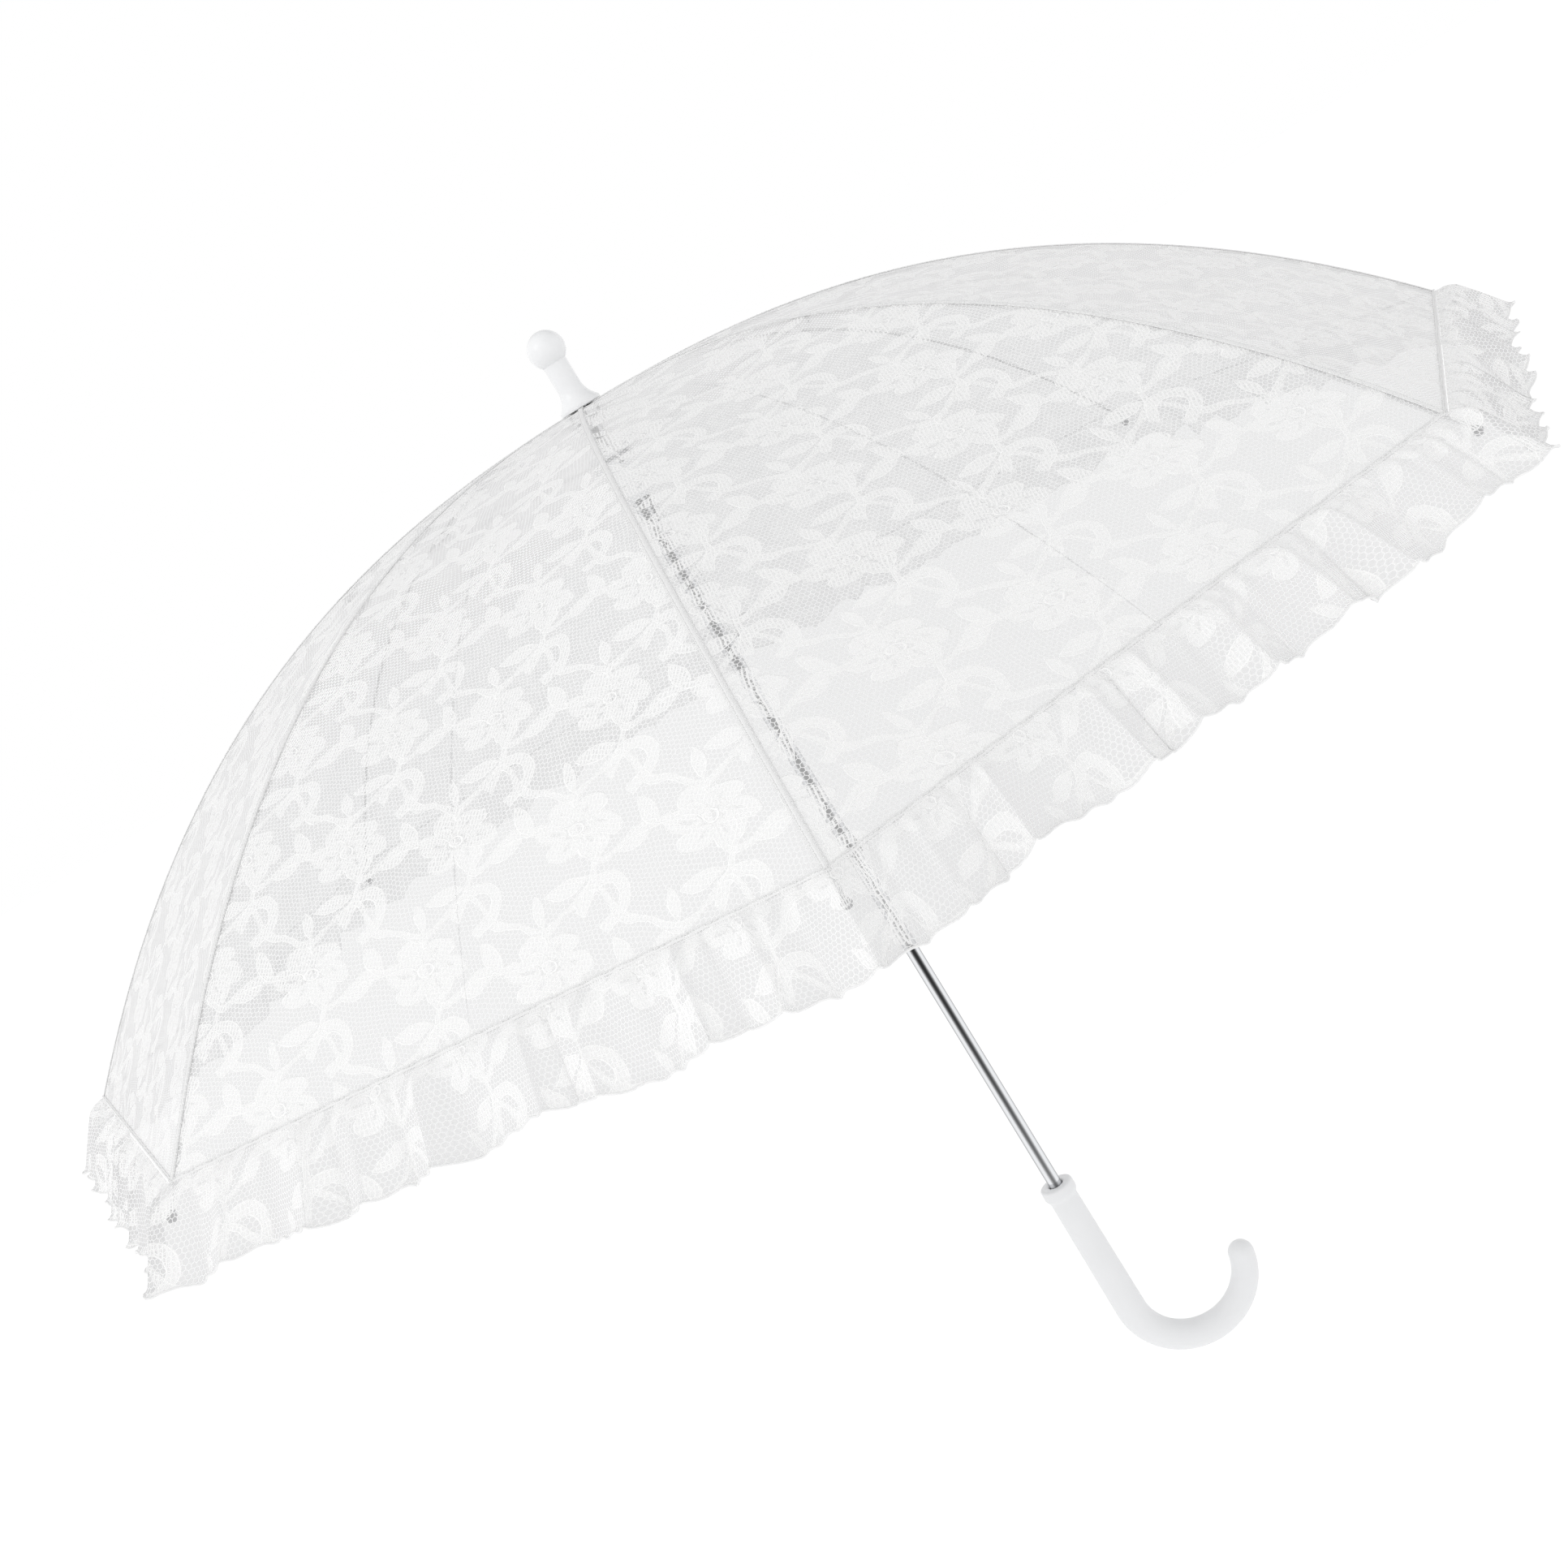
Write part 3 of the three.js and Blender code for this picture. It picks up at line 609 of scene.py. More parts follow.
def flower(make, spot):
    """A ring with six hatched petals. Returns its outlines and its filled parts."""
    stretched = make.vector("MULTIPLY", spot, (0.9, 1.3, 1))
    x, y = make.split(stretched)
    radius = make.vector("LENGTH", stretched)
    swirl = make.math("MULTIPLY_ADD", radius, 0.022, make.math("ARCTAN2", y, x))
    sector = math.pi / 3
    turn = make.less(make.math("FLOORED_MODULO", swirl, sector), sector / 2)
    petal_out, ring_radius = 12.2, 3.3
    along = make.less(make.times(radius, make.math("COSINE", turn)), petal_out)
    aside = make.times(radius, make.math("SINE", turn))
    petal = leaf_field(make, along, aside, 8.4, 6.2, 3.2)
    vein = leaf_field(make, make.add(along, 2.5), aside, 3.2, 1.0)
    ring = make.size_of(make.less(radius, ring_radius))
    lines = make.most(outline(make, petal, 0.34), outline(make, vein, 0.2), make.below(ring, 0.42, 0.1))
    filled = make.times(inside(make, petal), make.less(1, inside(make, vein)))
    return lines, filled


def horseshoe(make, spot, angle, radius, band):
    """An open ribbon loop with a double outline."""
    turned_spot = make.turned(spot, angle)
    x, y = make.split(turned_spot)
    reach = make.vector("LENGTH", turned_spot)
    bend = make.size_of(make.less(reach, radius))
    half_gap = make.math("MULTIPLY_ADD", y, 0.28, radius)
    legs = make.size_of(make.less(make.size_of(x), half_gap))
    upper = make.math("GREATER_THAN", y, 0)
    lower = make.less(1, upper)
    loop = make.add(make.times(bend, upper), make.times(legs, lower))
    field = make.less(loop, band)
    foot = -9.5
    here = make.math("GREATER_THAN", y, foot)
    lines = make.times(outline(make, field, 0.32), here)
    return lines, make.times(inside(make, field), here)


def sprig(make, spot, angle, length, half_width):
    """A leaf that lies at an angle."""
    x, y = make.split(make.turned(spot, angle))
    field = leaf_field(make, x, y, length, half_width)
    return outline(make, field, 0.32), inside(make, field)


def vine(make, spot, width, height, swing, offset, band):
    """A wavy ribbon along X, one in each `height`."""
    x, y = make.split(spot)
    turn = make.times(x, 2 * math.pi / width)
    wave = make.math("SINE", turn)
    ripple = make.math("SINE", make.math("MULTIPLY_ADD", turn, 2.0, offset))
    level = make.math("MULTIPLY_ADD", make.math("MULTIPLY_ADD", ripple, 0.45, wave), swing, offset)
    share = make.math("DIVIDE", make.less(y, level), height)
    part = make.less(make.math("FRACT", share), 0.5)
    swell = make.math("MULTIPLY_ADD", ripple, 0.35 * band, band)
    field = make.less(make.size_of(make.times(part, height)), swell)
    return outline(make, field, 0.3), inside(make, field)


def wobble(make, place_mm, scale, reach):
    """A soft random offset, up to half of reach each way, in millimetres."""
    cloud = make.noise(place_mm, scale)[1]
    return make.vector("MULTIPLY", make.vector("SUBTRACT", cloud, (0.5, 0.5, 0.5)), (reach, reach, 0))


def lace_group():
    """Masks of machine lace: a net, hatched flowers and ribbons, and the cord that outlines them."""
    if "Floral lace" in bpy.data.node_groups:
        return bpy.data.node_groups["Floral lace"]
    tree = bpy.data.node_groups.new("Floral lace", "ShaderNodeTree")
    start, end = group_ends(tree, [
        ("Place", "NodeSocketVector", None),
        ("Turn", "NodeSocketFloat", 0.3),
        ("Film", "NodeSocketFloat", 0.45),
    ], [("Cover", "NodeSocketFloat"), ("Net", "NodeSocketFloat"), ("Cord", "NodeSocketFloat"),
        ("Fill", "NodeSocketFloat")])
    make = Maker(tree)
    width = cloth_settings().repeat / MM
    height = width * 0.89
    place_mm = make.vector("MULTIPLY", start.outputs["Place"], (1 / MM, 1 / MM, 0))
    flat = make.turned(place_mm, start.outputs["Turn"])
    spot = make.vector("ADD", flat, wobble(make, flat, 0.045, 5))
    loose = make.vector("ADD", spot, wobble(make, flat, 0.55, 0.9))
    x, y = make.split(loose)
    crossways = make.join(y, x)

    def at(across, up):
        return make.cell(loose, width, height, width * across, height * up)

    parts = [
        flower(make, at(0, 0)),
        horseshoe(make, at(0.33, 0.45), 0.5, 9.6, 2.5),
        sprig(make, at(0.54, 0.08), 0.75, 9.5, 3.6),
        sprig(make, at(0.46, -0.13), -0.5, 8.0, 2.8),
        sprig(make, at(0.02, 0.56), -0.35, 10.5, 3.6),
        sprig(make, at(-0.16, 0.4), 1.0, 7.5, 2.6),
        vine(make, loose, width, height, 7.5, -4.0, 1.9),
        vine(make, loose, width, height, -7.5, 21.0, 1.6),
        vine(make, crossways, height, width, 8.5, 8.0, 1.5),
    ]
    lines = make.most(*[part[0] for part in parts])
    filled = make.most(*[part[1] for part in parts])
    weave_x, weave_y = make.split(spot)
    hatch = make.below(make.math("PINGPONG", weave_x, 0.85), 0.42, 0.05)
    rung = make.below(make.math("PINGPONG", weave_y, 1.1), 0.16, 0.05)
    backing = make.times(filled, make.most(hatch, rung, 0.45))
    net = net_mask(make, spot, cloth_settings().net / MM)
    make.feed(end.inputs["Cover"], make.most(net, lines, backing, start.outputs["Film"]))
    make.feed(end.inputs["Net"], net)
    make.feed(end.inputs["Cord"], lines)
    make.feed(end.inputs["Fill"], backing)
    return tree


def grain_group():
    """A moulded or coated surface: faint mottling, uneven gloss and a fine skin."""
    if "Fine skin" in bpy.data.node_groups:
        return bpy.data.node_groups["Fine skin"]
    tree = bpy.data.node_groups.new("Fine skin", "ShaderNodeTree")
    start, end = group_ends(tree, [
        ("Colour", "NodeSocketColor", None),
        ("Mottle", "NodeSocketFloat", 0.04),
        ("Gloss", "NodeSocketFloat", 0.3),
        ("Gloss spread", "NodeSocketFloat", 0.1),
        ("Skin", "NodeSocketFloat", 0.00002),
    ], [("Colour", "NodeSocketColor"), ("Roughness", "NodeSocketFloat"),
        ("Normal", "NodeSocketVector")])
    make = Maker(tree)
    place_node = tree.nodes.new("ShaderNodeTexCoord")
    place_socket = place_node.outputs["Object"]
    cloud = make.noise(place_socket, 60, 4)[0]
    shade = make.less(1, make.times(cloud, start.outputs["Mottle"]))
    make.feed(end.inputs["Colour"], make.vector("MULTIPLY", start.outputs["Colour"], make.grey(shade)))
    patch = make.less(make.noise(place_socket, 190, 3)[0], 0.5)
    gloss = make.math("MULTIPLY_ADD", patch, start.outputs["Gloss spread"], start.outputs["Gloss"])
    make.feed(end.inputs["Roughness"], gloss)
    make.feed(end.inputs["Normal"], make.bump(make.noise(place_socket, 2600, 2)[0], start.outputs["Skin"]))
    return tree


def new_material(name):
    material = bpy.data.materials.new(name)
    material.use_nodes = True
    shader = material.node_tree.nodes["Principled BSDF"]
    return material, Maker(material.node_tree), shader


def skin_material(name, colour, gloss, spread, mottle, skin, coat=0.0, metal=0.0):
    """A moulded, coated or metal finish from the shared skin group."""
    if name in bpy.data.materials:
        return bpy.data.materials[name]
    material, make, shader = new_material(name)
    group = make.tree.nodes.new("ShaderNodeGroup")
    group.node_tree = grain_group()
    group.inputs["Colour"].default_value = (*colour, 1)
    group.inputs["Mottle"].default_value = mottle
    group.inputs["Gloss"].default_value = gloss
    group.inputs["Gloss spread"].default_value = spread
    group.inputs["Skin"].default_value = skin
    make.feed(shader.inputs["Base Color"], group.outputs["Colour"])
    make.feed(shader.inputs["Roughness"], group.outputs["Roughness"])
    make.feed(shader.inputs["Normal"], group.outputs["Normal"])
    shader.inputs["Metallic"].default_value = metal
    shader.inputs["Coat Weight"].default_value = coat
    shader.inputs["Coat Roughness"].default_value = 0.08
    return material


def chrome_material():
    """Chrome with a painted reflection: a dark core, a bright band at each side of it and greyer edges,
    painted into its colour by how squarely it faces the view.
    """
    if "Chrome plate" in bpy.data.materials:
        return bpy.data.materials["Chrome plate"]
    material = skin_material("Chrome plate", (0.85, 0.86, 0.88), 0.08, 0.05, 0.05, 0.000002, metal=1.0)
    tree = material.node_tree
    make, shader = Maker(tree), tree.nodes["Principled BSDF"]
    bright = shader.inputs["Base Color"].links[0].from_socket
    facing = tree.nodes.new("ShaderNodeLayerWeight")
    facing.inputs["Blend"].default_value = 0.5
    # Painted reflection: the colour is near black where the surface faces the view square on, bright a little
    # off it, and greyer towards the edges.
    painted_dark_core = make.ranged(facing.outputs["Facing"], 0.04, 0.2, 0.03, 0.95)
    rim = make.ranged(facing.outputs["Facing"], 0.35, 0.65, 1.0, 0.5)
    level = make.times(painted_dark_core, rim)
    make.feed(shader.inputs["Base Color"], make.vector("MULTIPLY", bright, make.grey(level)))
    return material


def ring_wire_material():
    return skin_material("Binding wire", (0.62, 0.63, 0.65), 0.3, 0.15, 0.12, 0.00001, metal=1.0)


def tip_material():
    return skin_material("Nickelled ball", (0.2, 0.2, 0.21), 0.25, 0.12, 0.2, 0.00001, metal=1.0)


def coated_wire_material():
    return skin_material("White dipped wire", (0.93, 0.93, 0.93), 0.36, 0.14, 0.06, 0.00003, coat=0.2)


def white_plastic_material():
    colour = tuple(frame_settings().plastic_colour)
    return skin_material("Glossy white moulding", colour, 0.16, 0.08, 0.03, 0.000004, coat=0.35)


def handle_material():
    colour = tuple(frame_settings().handle_colour)
    return skin_material("Satin white moulding", colour, 0.42, 0.1, 0.04, 0.00002)


def lace_material(name, turn, film):
    """Lace on the piece's own cloth map. `film` is how much its finest mesh hides."""
    if name in bpy.data.materials:
        return bpy.data.materials[name]
    material, make, shader = new_material(name)
    cloth_map = make.tree.nodes.new("ShaderNodeUVMap")
    cloth_map.uv_map = CLOTH_MAP
    lace = make.tree.nodes.new("ShaderNodeGroup")
    lace.node_tree = lace_group()
    make.feed(lace.inputs["Place"], cloth_map.outputs["UV"])
    lace.inputs["Turn"].default_value = turn
    lace.inputs["Film"].default_value = film
    settings = cloth_settings()
    # Between the net's threads the mesh takes the film's grey, painted shade of the cover's shaded inside
    # seen through it.
    threads = make.mixed(lace.outputs["Net"], settings.film_painted_shade, settings.net_colour)
    hatching = make.times(lace.outputs["Fill"], FILL_TONE)
    pattern = make.math("MAXIMUM", lace.outputs["Cord"], hatching)
    make.feed(shader.inputs["Base Color"], make.mixed(pattern, threads, settings.thread_colour))
    make.feed(shader.inputs["Alpha"], lace.outputs["Cover"])
    height = make.add(lace.outputs["Cord"], lace.outputs["Fill"])
    make.feed(shader.inputs["Normal"], make.bump(height, THREAD_RELIEF))
    shader.inputs["Roughness"].default_value = 0.8
    shader.inputs["Specular IOR Level"].default_value = 0.2
    shader.inputs["Sheen Weight"].default_value = 0.15
    return material


def tape_material():
    """Close-woven binding tape, for seams and hems."""
    if "Woven tape" in bpy.data.materials:
        return bpy.data.materials["Woven tape"]
    material, make, shader = new_material("Woven tape")
    place_node = make.tree.nodes.new("ShaderNodeTexCoord")
    threads = make.vector("MULTIPLY", place_node.outputs["Object"], (9000, 9000, 9000))
    wave = make.vector("SINE", threads)
    x, y = make.split(wave)
    weave = make.times(x, y)
    shade = make.math("MULTIPLY_ADD", weave, 0.04, 0.92)
    make.feed(shader.inputs["Base Color"], make.grey(shade))
    make.feed(shader.inputs["Normal"], make.bump(weave, THREAD_RELIEF))
    shader.inputs["Roughness"].default_value = 0.75
    return material


# Pieces on the shaft.

NOTCH_DEPTH = 2.5 * MM  # from the pins' circle inwards
NOTCH_WIDTH = 2.4 * MM


def finish_piece(obj, body, replaced=(), slot=None):
    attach(obj, body)
    if replaced:
        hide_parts(*replaced)
    return obj


def cut(obj, cutters):
    """Takes the cutters' shapes out of the piece."""
    cutter = join_into(cutters[0], cutters[1:])
    modifier = obj.modifiers.new("Cut", "BOOLEAN")
    modifier.operation = "DIFFERENCE"
    modifier.solver = "EXACT"
    modifier.object = cutter
    finish_modifiers(obj)
    bpy.data.objects.remove(cutter)
    return keep_edges_crisp(obj)


def block(name, low, high, material):
    corners = [(x, y, z) for z in (low[2], high[2]) for y in (low[1], high[1]) for x in (low[0], high[0])]
    faces = [(0, 2, 3, 1), (4, 5, 7, 6), (0, 1, 5, 4), (1, 3, 7, 5), (3, 2, 6, 7), (2, 0, 4, 6)]
    return mesh_from(name, corners, faces, material, smooth=False)


def slot_block(name, node, material, spare):
    """A box round a catch, from the shaft's axis outwards."""
    low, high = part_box(node)
    return block(name, (0, low[1] - spare, low[2] - spare), (high[0], high[1] + spare, high[2] + spare),
                 material)


def make_shaft():
    inner = SHAFT_RADIUS - SHAFT_WALL
    edge = 0.25 * MM
    low, high = SHAFT_LOW[2], SHAFT_HIGH[2]
    tube = turned("shaft_tube_fine", [
        (inner, low), (SHAFT_RADIUS - edge, low), (SHAFT_RADIUS, low + edge),
        (SHAFT_RADIUS, high - edge), (SHAFT_RADIUS - edge, high), (inner, high),
    ], chrome_material())
    slots = [slot_block("slot", node, chrome_material(), PIECE_GAP) for node in ("top_catch", "bottom_catch")]
    finish_piece(cut(tube, slots), "shaft", ["shaft_tube"], "chrome_steel")


def make_catch(node, lip):
    """A folded tongue with a round nose. `lip` is 1 with its flat edge above."""
    low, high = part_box(node)
    middle = (low[2] + high[2]) / 2
    half = (high[2] - low[2]) / 2
    nose = 2 * MM
    outline_points = rounded([
        (low[0], -half), (SHAFT_RADIUS, -half), (high[0], half - nose), (high[0], half), (low[0], half),
    ], 0.7 * MM)
    wide = high[1]
    across = (-wide, -wide * 0.9, wide * 0.9, wide)
    rings = [[(x, y, middle + lip * z) for x, z in outline_points] for y in across]
    for ring in (rings[0], rings[-1]):
        centre = sum((Vector(point) for point in ring), Vector()) / len(ring)
        ring[:] = [tuple(centre + (Vector(point) - centre) * 0.96) for point in ring]
    piece = lofted(f"{node}_fine", rings, chrome_material())
    finish_piece(piece, node, [node], "chrome_steel")


def make_ferrule():
    low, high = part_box("ferrule")
    base = low[2]
    ball = 10.5 * MM
    neck = 6.8 * MM
    skirt = high[0]
    washer_low, washer_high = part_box("canopy_washer")
    washer_top = washer_high[2] + PIECE_GAP
    room = washer_high[0] + PIECE_GAP
    socket = base + 20 * MM
    brim = base + 1.8 * MM
    flare_height = 11 * MM
    profile = rounded([
        (0, socket), (BORE_RADIUS, socket), (BORE_RADIUS, washer_top),
        (room, washer_top), (room, base), (skirt, base), (skirt, brim),
    ], 0.5 * MM)
    steps = 14
    for i in range(1, steps + 1):
        share = i / steps
        flare = (skirt - neck) * (1 - share) ** 2.2
        profile.append((neck + flare, brim + flare_height * share))
    profile += ball_outline(ball, neck, high[2] - ball, 26)
    finish_piece(turned("ferrule_fine", profile, white_plastic_material()), "shaft", ["ferrule"],
                 "white_plastic")
    washer = turned("canopy_washer_fine", [
        (BORE_RADIUS, washer_low[2]), (washer_high[0], washer_low[2]),
        (washer_high[0], washer_high[2]), (BORE_RADIUS, washer_high[2]),
    ], white_plastic_material())
    finish_piece(washer, "shaft", ["canopy_washer"], "white_plastic")


def notches(pivot_radius, aside, low, high, material):
    """Cutters for the slots of a notched ring."""
    inner = pivot_radius - NOTCH_DEPTH
    half = NOTCH_WIDTH / 2
    cutters = []
    for number in range(1, RIBS + 1):
        box = block("notch", (inner, aside - half, low), (inner + 20 * MM, aside + half, high), material)
        cutters.append(place(box, number))
    return cutters


def make_crown():
    low, high = CROWN_LOW[2], CROWN_HIGH[2]
    outer = CROWN_HIGH[0]
    groove = frame_settings().ring_radius + PIECE_GAP
    pivot_radius, pivot_height = -RIB_PIVOT.y, RIB_PIVOT.z
    floor = pivot_radius - groove
    bevel = 1.5 * MM
    profile = rounded([
        (BORE_RADIUS, low), (outer - bevel, low), (outer, low + bevel),
        (outer, pivot_height - groove), (floor, pivot_height - groove), (floor, pivot_height + groove),
        (outer, pivot_height + groove), (outer, high), (BORE_RADIUS, high),
    ], 0.5 * MM)
    ring = turned("crown_fine", profile, white_plastic_material())
    cut(ring, notches(pivot_radius, 0, low - MM, high + MM, white_plastic_material()))
    finish_piece(ring, "shaft", ["crown"], "white_plastic")
    make_ring_wire("crown_wire", pivot_radius, pivot_height, "shaft")


def make_ring_wire(node, radius, height, body):
    steps = 96
    points = [(radius * math.cos(2 * math.pi * k / steps), radius * math.sin(2 * math.pi * k / steps),
               height) for k in range(steps)]
    ring = wire(f"{node}_fine", points, frame_settings().ring_radius, ring_wire_material(), closed=True,
                sides=10)
    finish_piece(ring, body, [node], "ring_wire")


def make_runner():
    low, high = RUNNER_LOW[2], RUNNER_HIGH[2]
    outer, sleeve = RUNNER_HIGH[0], 7.4 * MM
    bead = sleeve + 1.2 * MM
    flange = high - 9 * MM
    groove = frame_settings().ring_radius + PIECE_GAP
    pivot_height = STRETCHER_PIVOT.z
    pivot_radius = -STRETCHER_PIVOT.y
    wire_radius = math.hypot(pivot_radius, STRETCHER_ASIDE)
    floor = wire_radius - groove
    profile = rounded([
        (BORE_RADIUS, low), (bead, low), (bead, low + 4 * MM),
        (sleeve, low + 6 * MM), (sleeve, flange - 2 * MM), (outer, flange),
        (outer, pivot_height - groove), (floor, pivot_height - groove), (floor, pivot_height + groove),
        (outer, pivot_height + groove), (outer, high), (BORE_RADIUS, high),
    ], 0.6 * MM)
    ring = turned("runner_fine", profile, white_plastic_material())
    cut(ring, notches(pivot_radius, STRETCHER_ASIDE, flange, high + MM, white_plastic_material()))
    finish_piece(ring, "runner", ["runner"], "white_plastic")
    make_ring_wire("runner_wire", wire_radius, pivot_height, "runner")


# Rings of the handle: its socket, collar, grip, bend and round end in one skin.

HOOK_BEND = 36 * MM
HOOK_TURN = math.radians(172)
GRIP_LOW = -41 * MM
GRIP_TOP = 41 * MM
COLLAR_RADIUS = 10.2 * MM
GRIP_RADIUS = 8.5 * MM
TIP_RADIUS = 7.6 * MM
LOW_RADIUS = 9.1 * MM


def handle_rings():
    top = HANDLE_TOP
    grip_start = GRIP_TOP - 3 * MM
    straight = rounded([
        (BORE_RADIUS, SHAFT_LOW[2] - PIECE_GAP), (BORE_RADIUS, top), (COLLAR_RADIUS - 0.2 * MM, top),
        (COLLAR_RADIUS, GRIP_TOP + 1.6 * MM), (GRIP_RADIUS + 0.2 * MM, GRIP_TOP - 0.6 * MM),
        (GRIP_RADIUS, grip_start),
    ], 1.3 * MM, 6)
    rings = [(0, radius, height) for radius, height in straight]
    steps = 20
    for i in range(1, steps + 1):
        share = i / steps
        radius = GRIP_RADIUS + (LOW_RADIUS - GRIP_RADIUS) * share
        rings.append((0, radius, grip_start + (GRIP_LOW - grip_start) * share))
    steps = 56
    for i in range(1, steps + 1):
        share = i / steps
        rings.append((HOOK_TURN * share, LOW_RADIUS + (TIP_RADIUS - LOW_RADIUS) * share**1.5, 0))
    steps = 12
    for i in range(1, steps + 1):
        round_off = math.pi / 2 * i / steps
        rings.append((HOOK_TURN, max(TIP_RADIUS * math.cos(round_off), 0.05 * MM),
                      TIP_RADIUS * math.sin(round_off)))
    return rings


def hook_ring(angle, radius, ahead, sides=48):
    """A ring of the bend. Where angle is 0 it is one of the straight handle, and ahead its height."""
    if angle == 0:
        centre, outward = Vector((0, 0, ahead)), Vector((-1, 0, 0))
    else:
        centre = Vector((HOOK_BEND * (1 - math.cos(angle)) + ahead * math.sin(angle), 0,
                         GRIP_LOW - HOOK_BEND * math.sin(angle) - ahead * math.cos(angle)))
        outward = Vector((-math.cos(angle), 0, -math.sin(angle)))
    ring = []
    for k in range(sides):
        around = 2 * math.pi * k / sides
        point = centre + outward * (radius * math.cos(around))
        point.y += radius * math.sin(around)
        ring.append(tuple(point))
    return ring


def make_handle():
    rings = [hook_ring(*ring) for ring in handle_rings()]
    finish_piece(lofted("handle_fine", rings, handle_material()), "shaft", ["handle"], "handle_plastic")


# The frame: ribs, tips, clips and stretchers. Each is made along +X and turned into place.

RIB_END = RIM_RADIUS + 7 * MM
TIP_BALL = 2.3 * MM
CLIP_RADIUS = 160 * MM
CLIP_HEIGHT = 4.6 * MM
CLIP_LENGTH = 12 * MM
CLIP_WALL = 2.1 * MM  # from its middle to the outside of a cheek
EYE_REACH = 1.9 * MM  # from an eye's middle to where its wire starts
STRETCHER_ASIDE = abs(STRETCHER_PIVOT.x)


def eye(spot, hole, material, thickness=1.8 * MM, outer=2.2 * MM):
    """A flat ring on an axis along Y."""
    half = thickness / 2
    ring = turned("eye", rounded([(hole, -half), (outer, -half), (outer, half), (hole, half)], 0.3 * MM, 2),
                  material, 24)
    ring.data.transform(Matrix.Translation(spot) @ Matrix.Rotation(math.pi / 2, 4, "X"))
    return ring


def rib_point(radius):
    spot = under_cover(radius, RIB_BELOW)
    share = (radius + RIB_PIVOT.y) / (RIB_END + RIB_PIVOT.y)
    dip = (COVER_TOP - RIB_BELOW - RIB_PIVOT.z) * max(0, 1 - share * 9)
    return spot[0], 0, spot[1] - dip


def make_rib(number):
    start = -RIB_PIVOT.y
    steps = 72
    first = start + EYE_REACH
    radii = [first + (RIB_END - first) * i / steps for i in range(steps + 1)]
    rod = wire(f"rib_{number}_fine", [rib_point(radius) for radius in radii],
               frame_settings().rib_radius, coated_wire_material())
    hole = frame_settings().ring_radius + PIECE_GAP
    join_into(rod, [eye((start, 0, RIB_PIVOT.z), hole, coated_wire_material())])
    finish_piece(place(rod, number), f"rib_arm_{number}", [f"rib_{number}"], "coated_wire")


def make_tip(number):
    radius = frame_settings().rib_radius
    neck = MM
    centre = neck + math.sqrt(TIP_BALL**2 - radius**2)
    profile = [(0, 0), (radius, 0), (radius, neck), *ball_outline(TIP_BALL, radius, centre, 14)[1:]]
    tip = turned(f"rib_tip_{number}_fine", profile, tip_material(), 28)
    end = Vector(rib_point(RIB_END))
    down = math.atan(-cover_slope(RIB_END))
    tip.data.transform(Matrix.Translation(end) @ Matrix.Rotation(math.pi / 2 + down, 4, "Y")
                       @ Matrix.Translation((0, 0, PIECE_GAP)))
    finish_piece(place(tip, number), f"rib_arm_{number}", [f"rib_tip_{number}"], "tip_metal")


def make_clip(number):
    """A folded saddle under the rib, with a rivet through its cheeks."""
    rod = frame_settings().rib_radius
    spot = under_cover(CLIP_RADIUS, RIB_BELOW)
    wall, cheek = CLIP_WALL, rod + PIECE_GAP
    low = rod - CLIP_HEIGHT
    section = rounded([
        (cheek, rod), (cheek, -cheek), (-cheek, -cheek), (-cheek, rod), (-wall, rod), (-wall, low),
        (wall, low), (wall, rod), (cheek, rod),
    ], 0.35 * MM, 2)[:-1]
    half = CLIP_LENGTH / 2
    rings = [[(x, y, z) for y, z in section] for x in (-half, -half * 0.9, half * 0.9, half)]
    clip = lofted(f"rib_clip_{number}_fine", rings, coated_wire_material())
    head, outer, inner = 0.9 * MM, -wall - 0.25 * MM, -wall + 0.2 * MM
    rivet = turned("rivet", rounded([(0, outer), (head, outer), (head, inner), (0, inner)], 0.2 * MM, 2),
                   coated_wire_material(), 20)
    rivet.data.transform(Matrix.Translation((0, 0, rod - CLIP_HEIGHT * 0.75))
                         @ Matrix.Rotation(-math.pi / 2, 4, "X"))
    join_into(clip, [rivet])
    slope = math.atan(-cover_slope(CLIP_RADIUS))
    clip.data.transform(Matrix.Translation((spot[0], 0, spot[1])) @ Matrix.Rotation(slope, 4, "Y"))
    finish_piece(place(clip, number), f"rib_arm_{number}", [f"rib_clip_{number}"], "coated_wire")


def make_stretcher(number):
    near = Vector((-STRETCHER_PIVOT.y, STRETCHER_ASIDE, STRETCHER_PIVOT.z))
    clip = under_cover(CLIP_RADIUS, RIB_BELOW + CLIP_HEIGHT / 2)
    far = Vector((clip[0], STRETCHER_ASIDE, clip[1]))
    reach = (far - near).normalized() * EYE_REACH
    start, end = near + reach, far - reach
    steps = 12
    points = [start.lerp(end, i / steps) for i in range(steps + 1)]
    rod = wire(f"stretcher_{number}_fine", points, frame_settings().stretcher_radius,
               coated_wire_material())
    hole = frame_settings().ring_radius
    join_into(rod, [eye(near, hole + 0.9 * MM, coated_wire_material()),
                    eye(far, hole + PIECE_GAP, coated_wire_material())])
    finish_piece(place(rod, number), f"stretcher_arm_{number}", [f"stretcher_{number}"], "coated_wire")


# Cloth. Each gore and each frill runs from one panel's middle, over its rib, to the next.

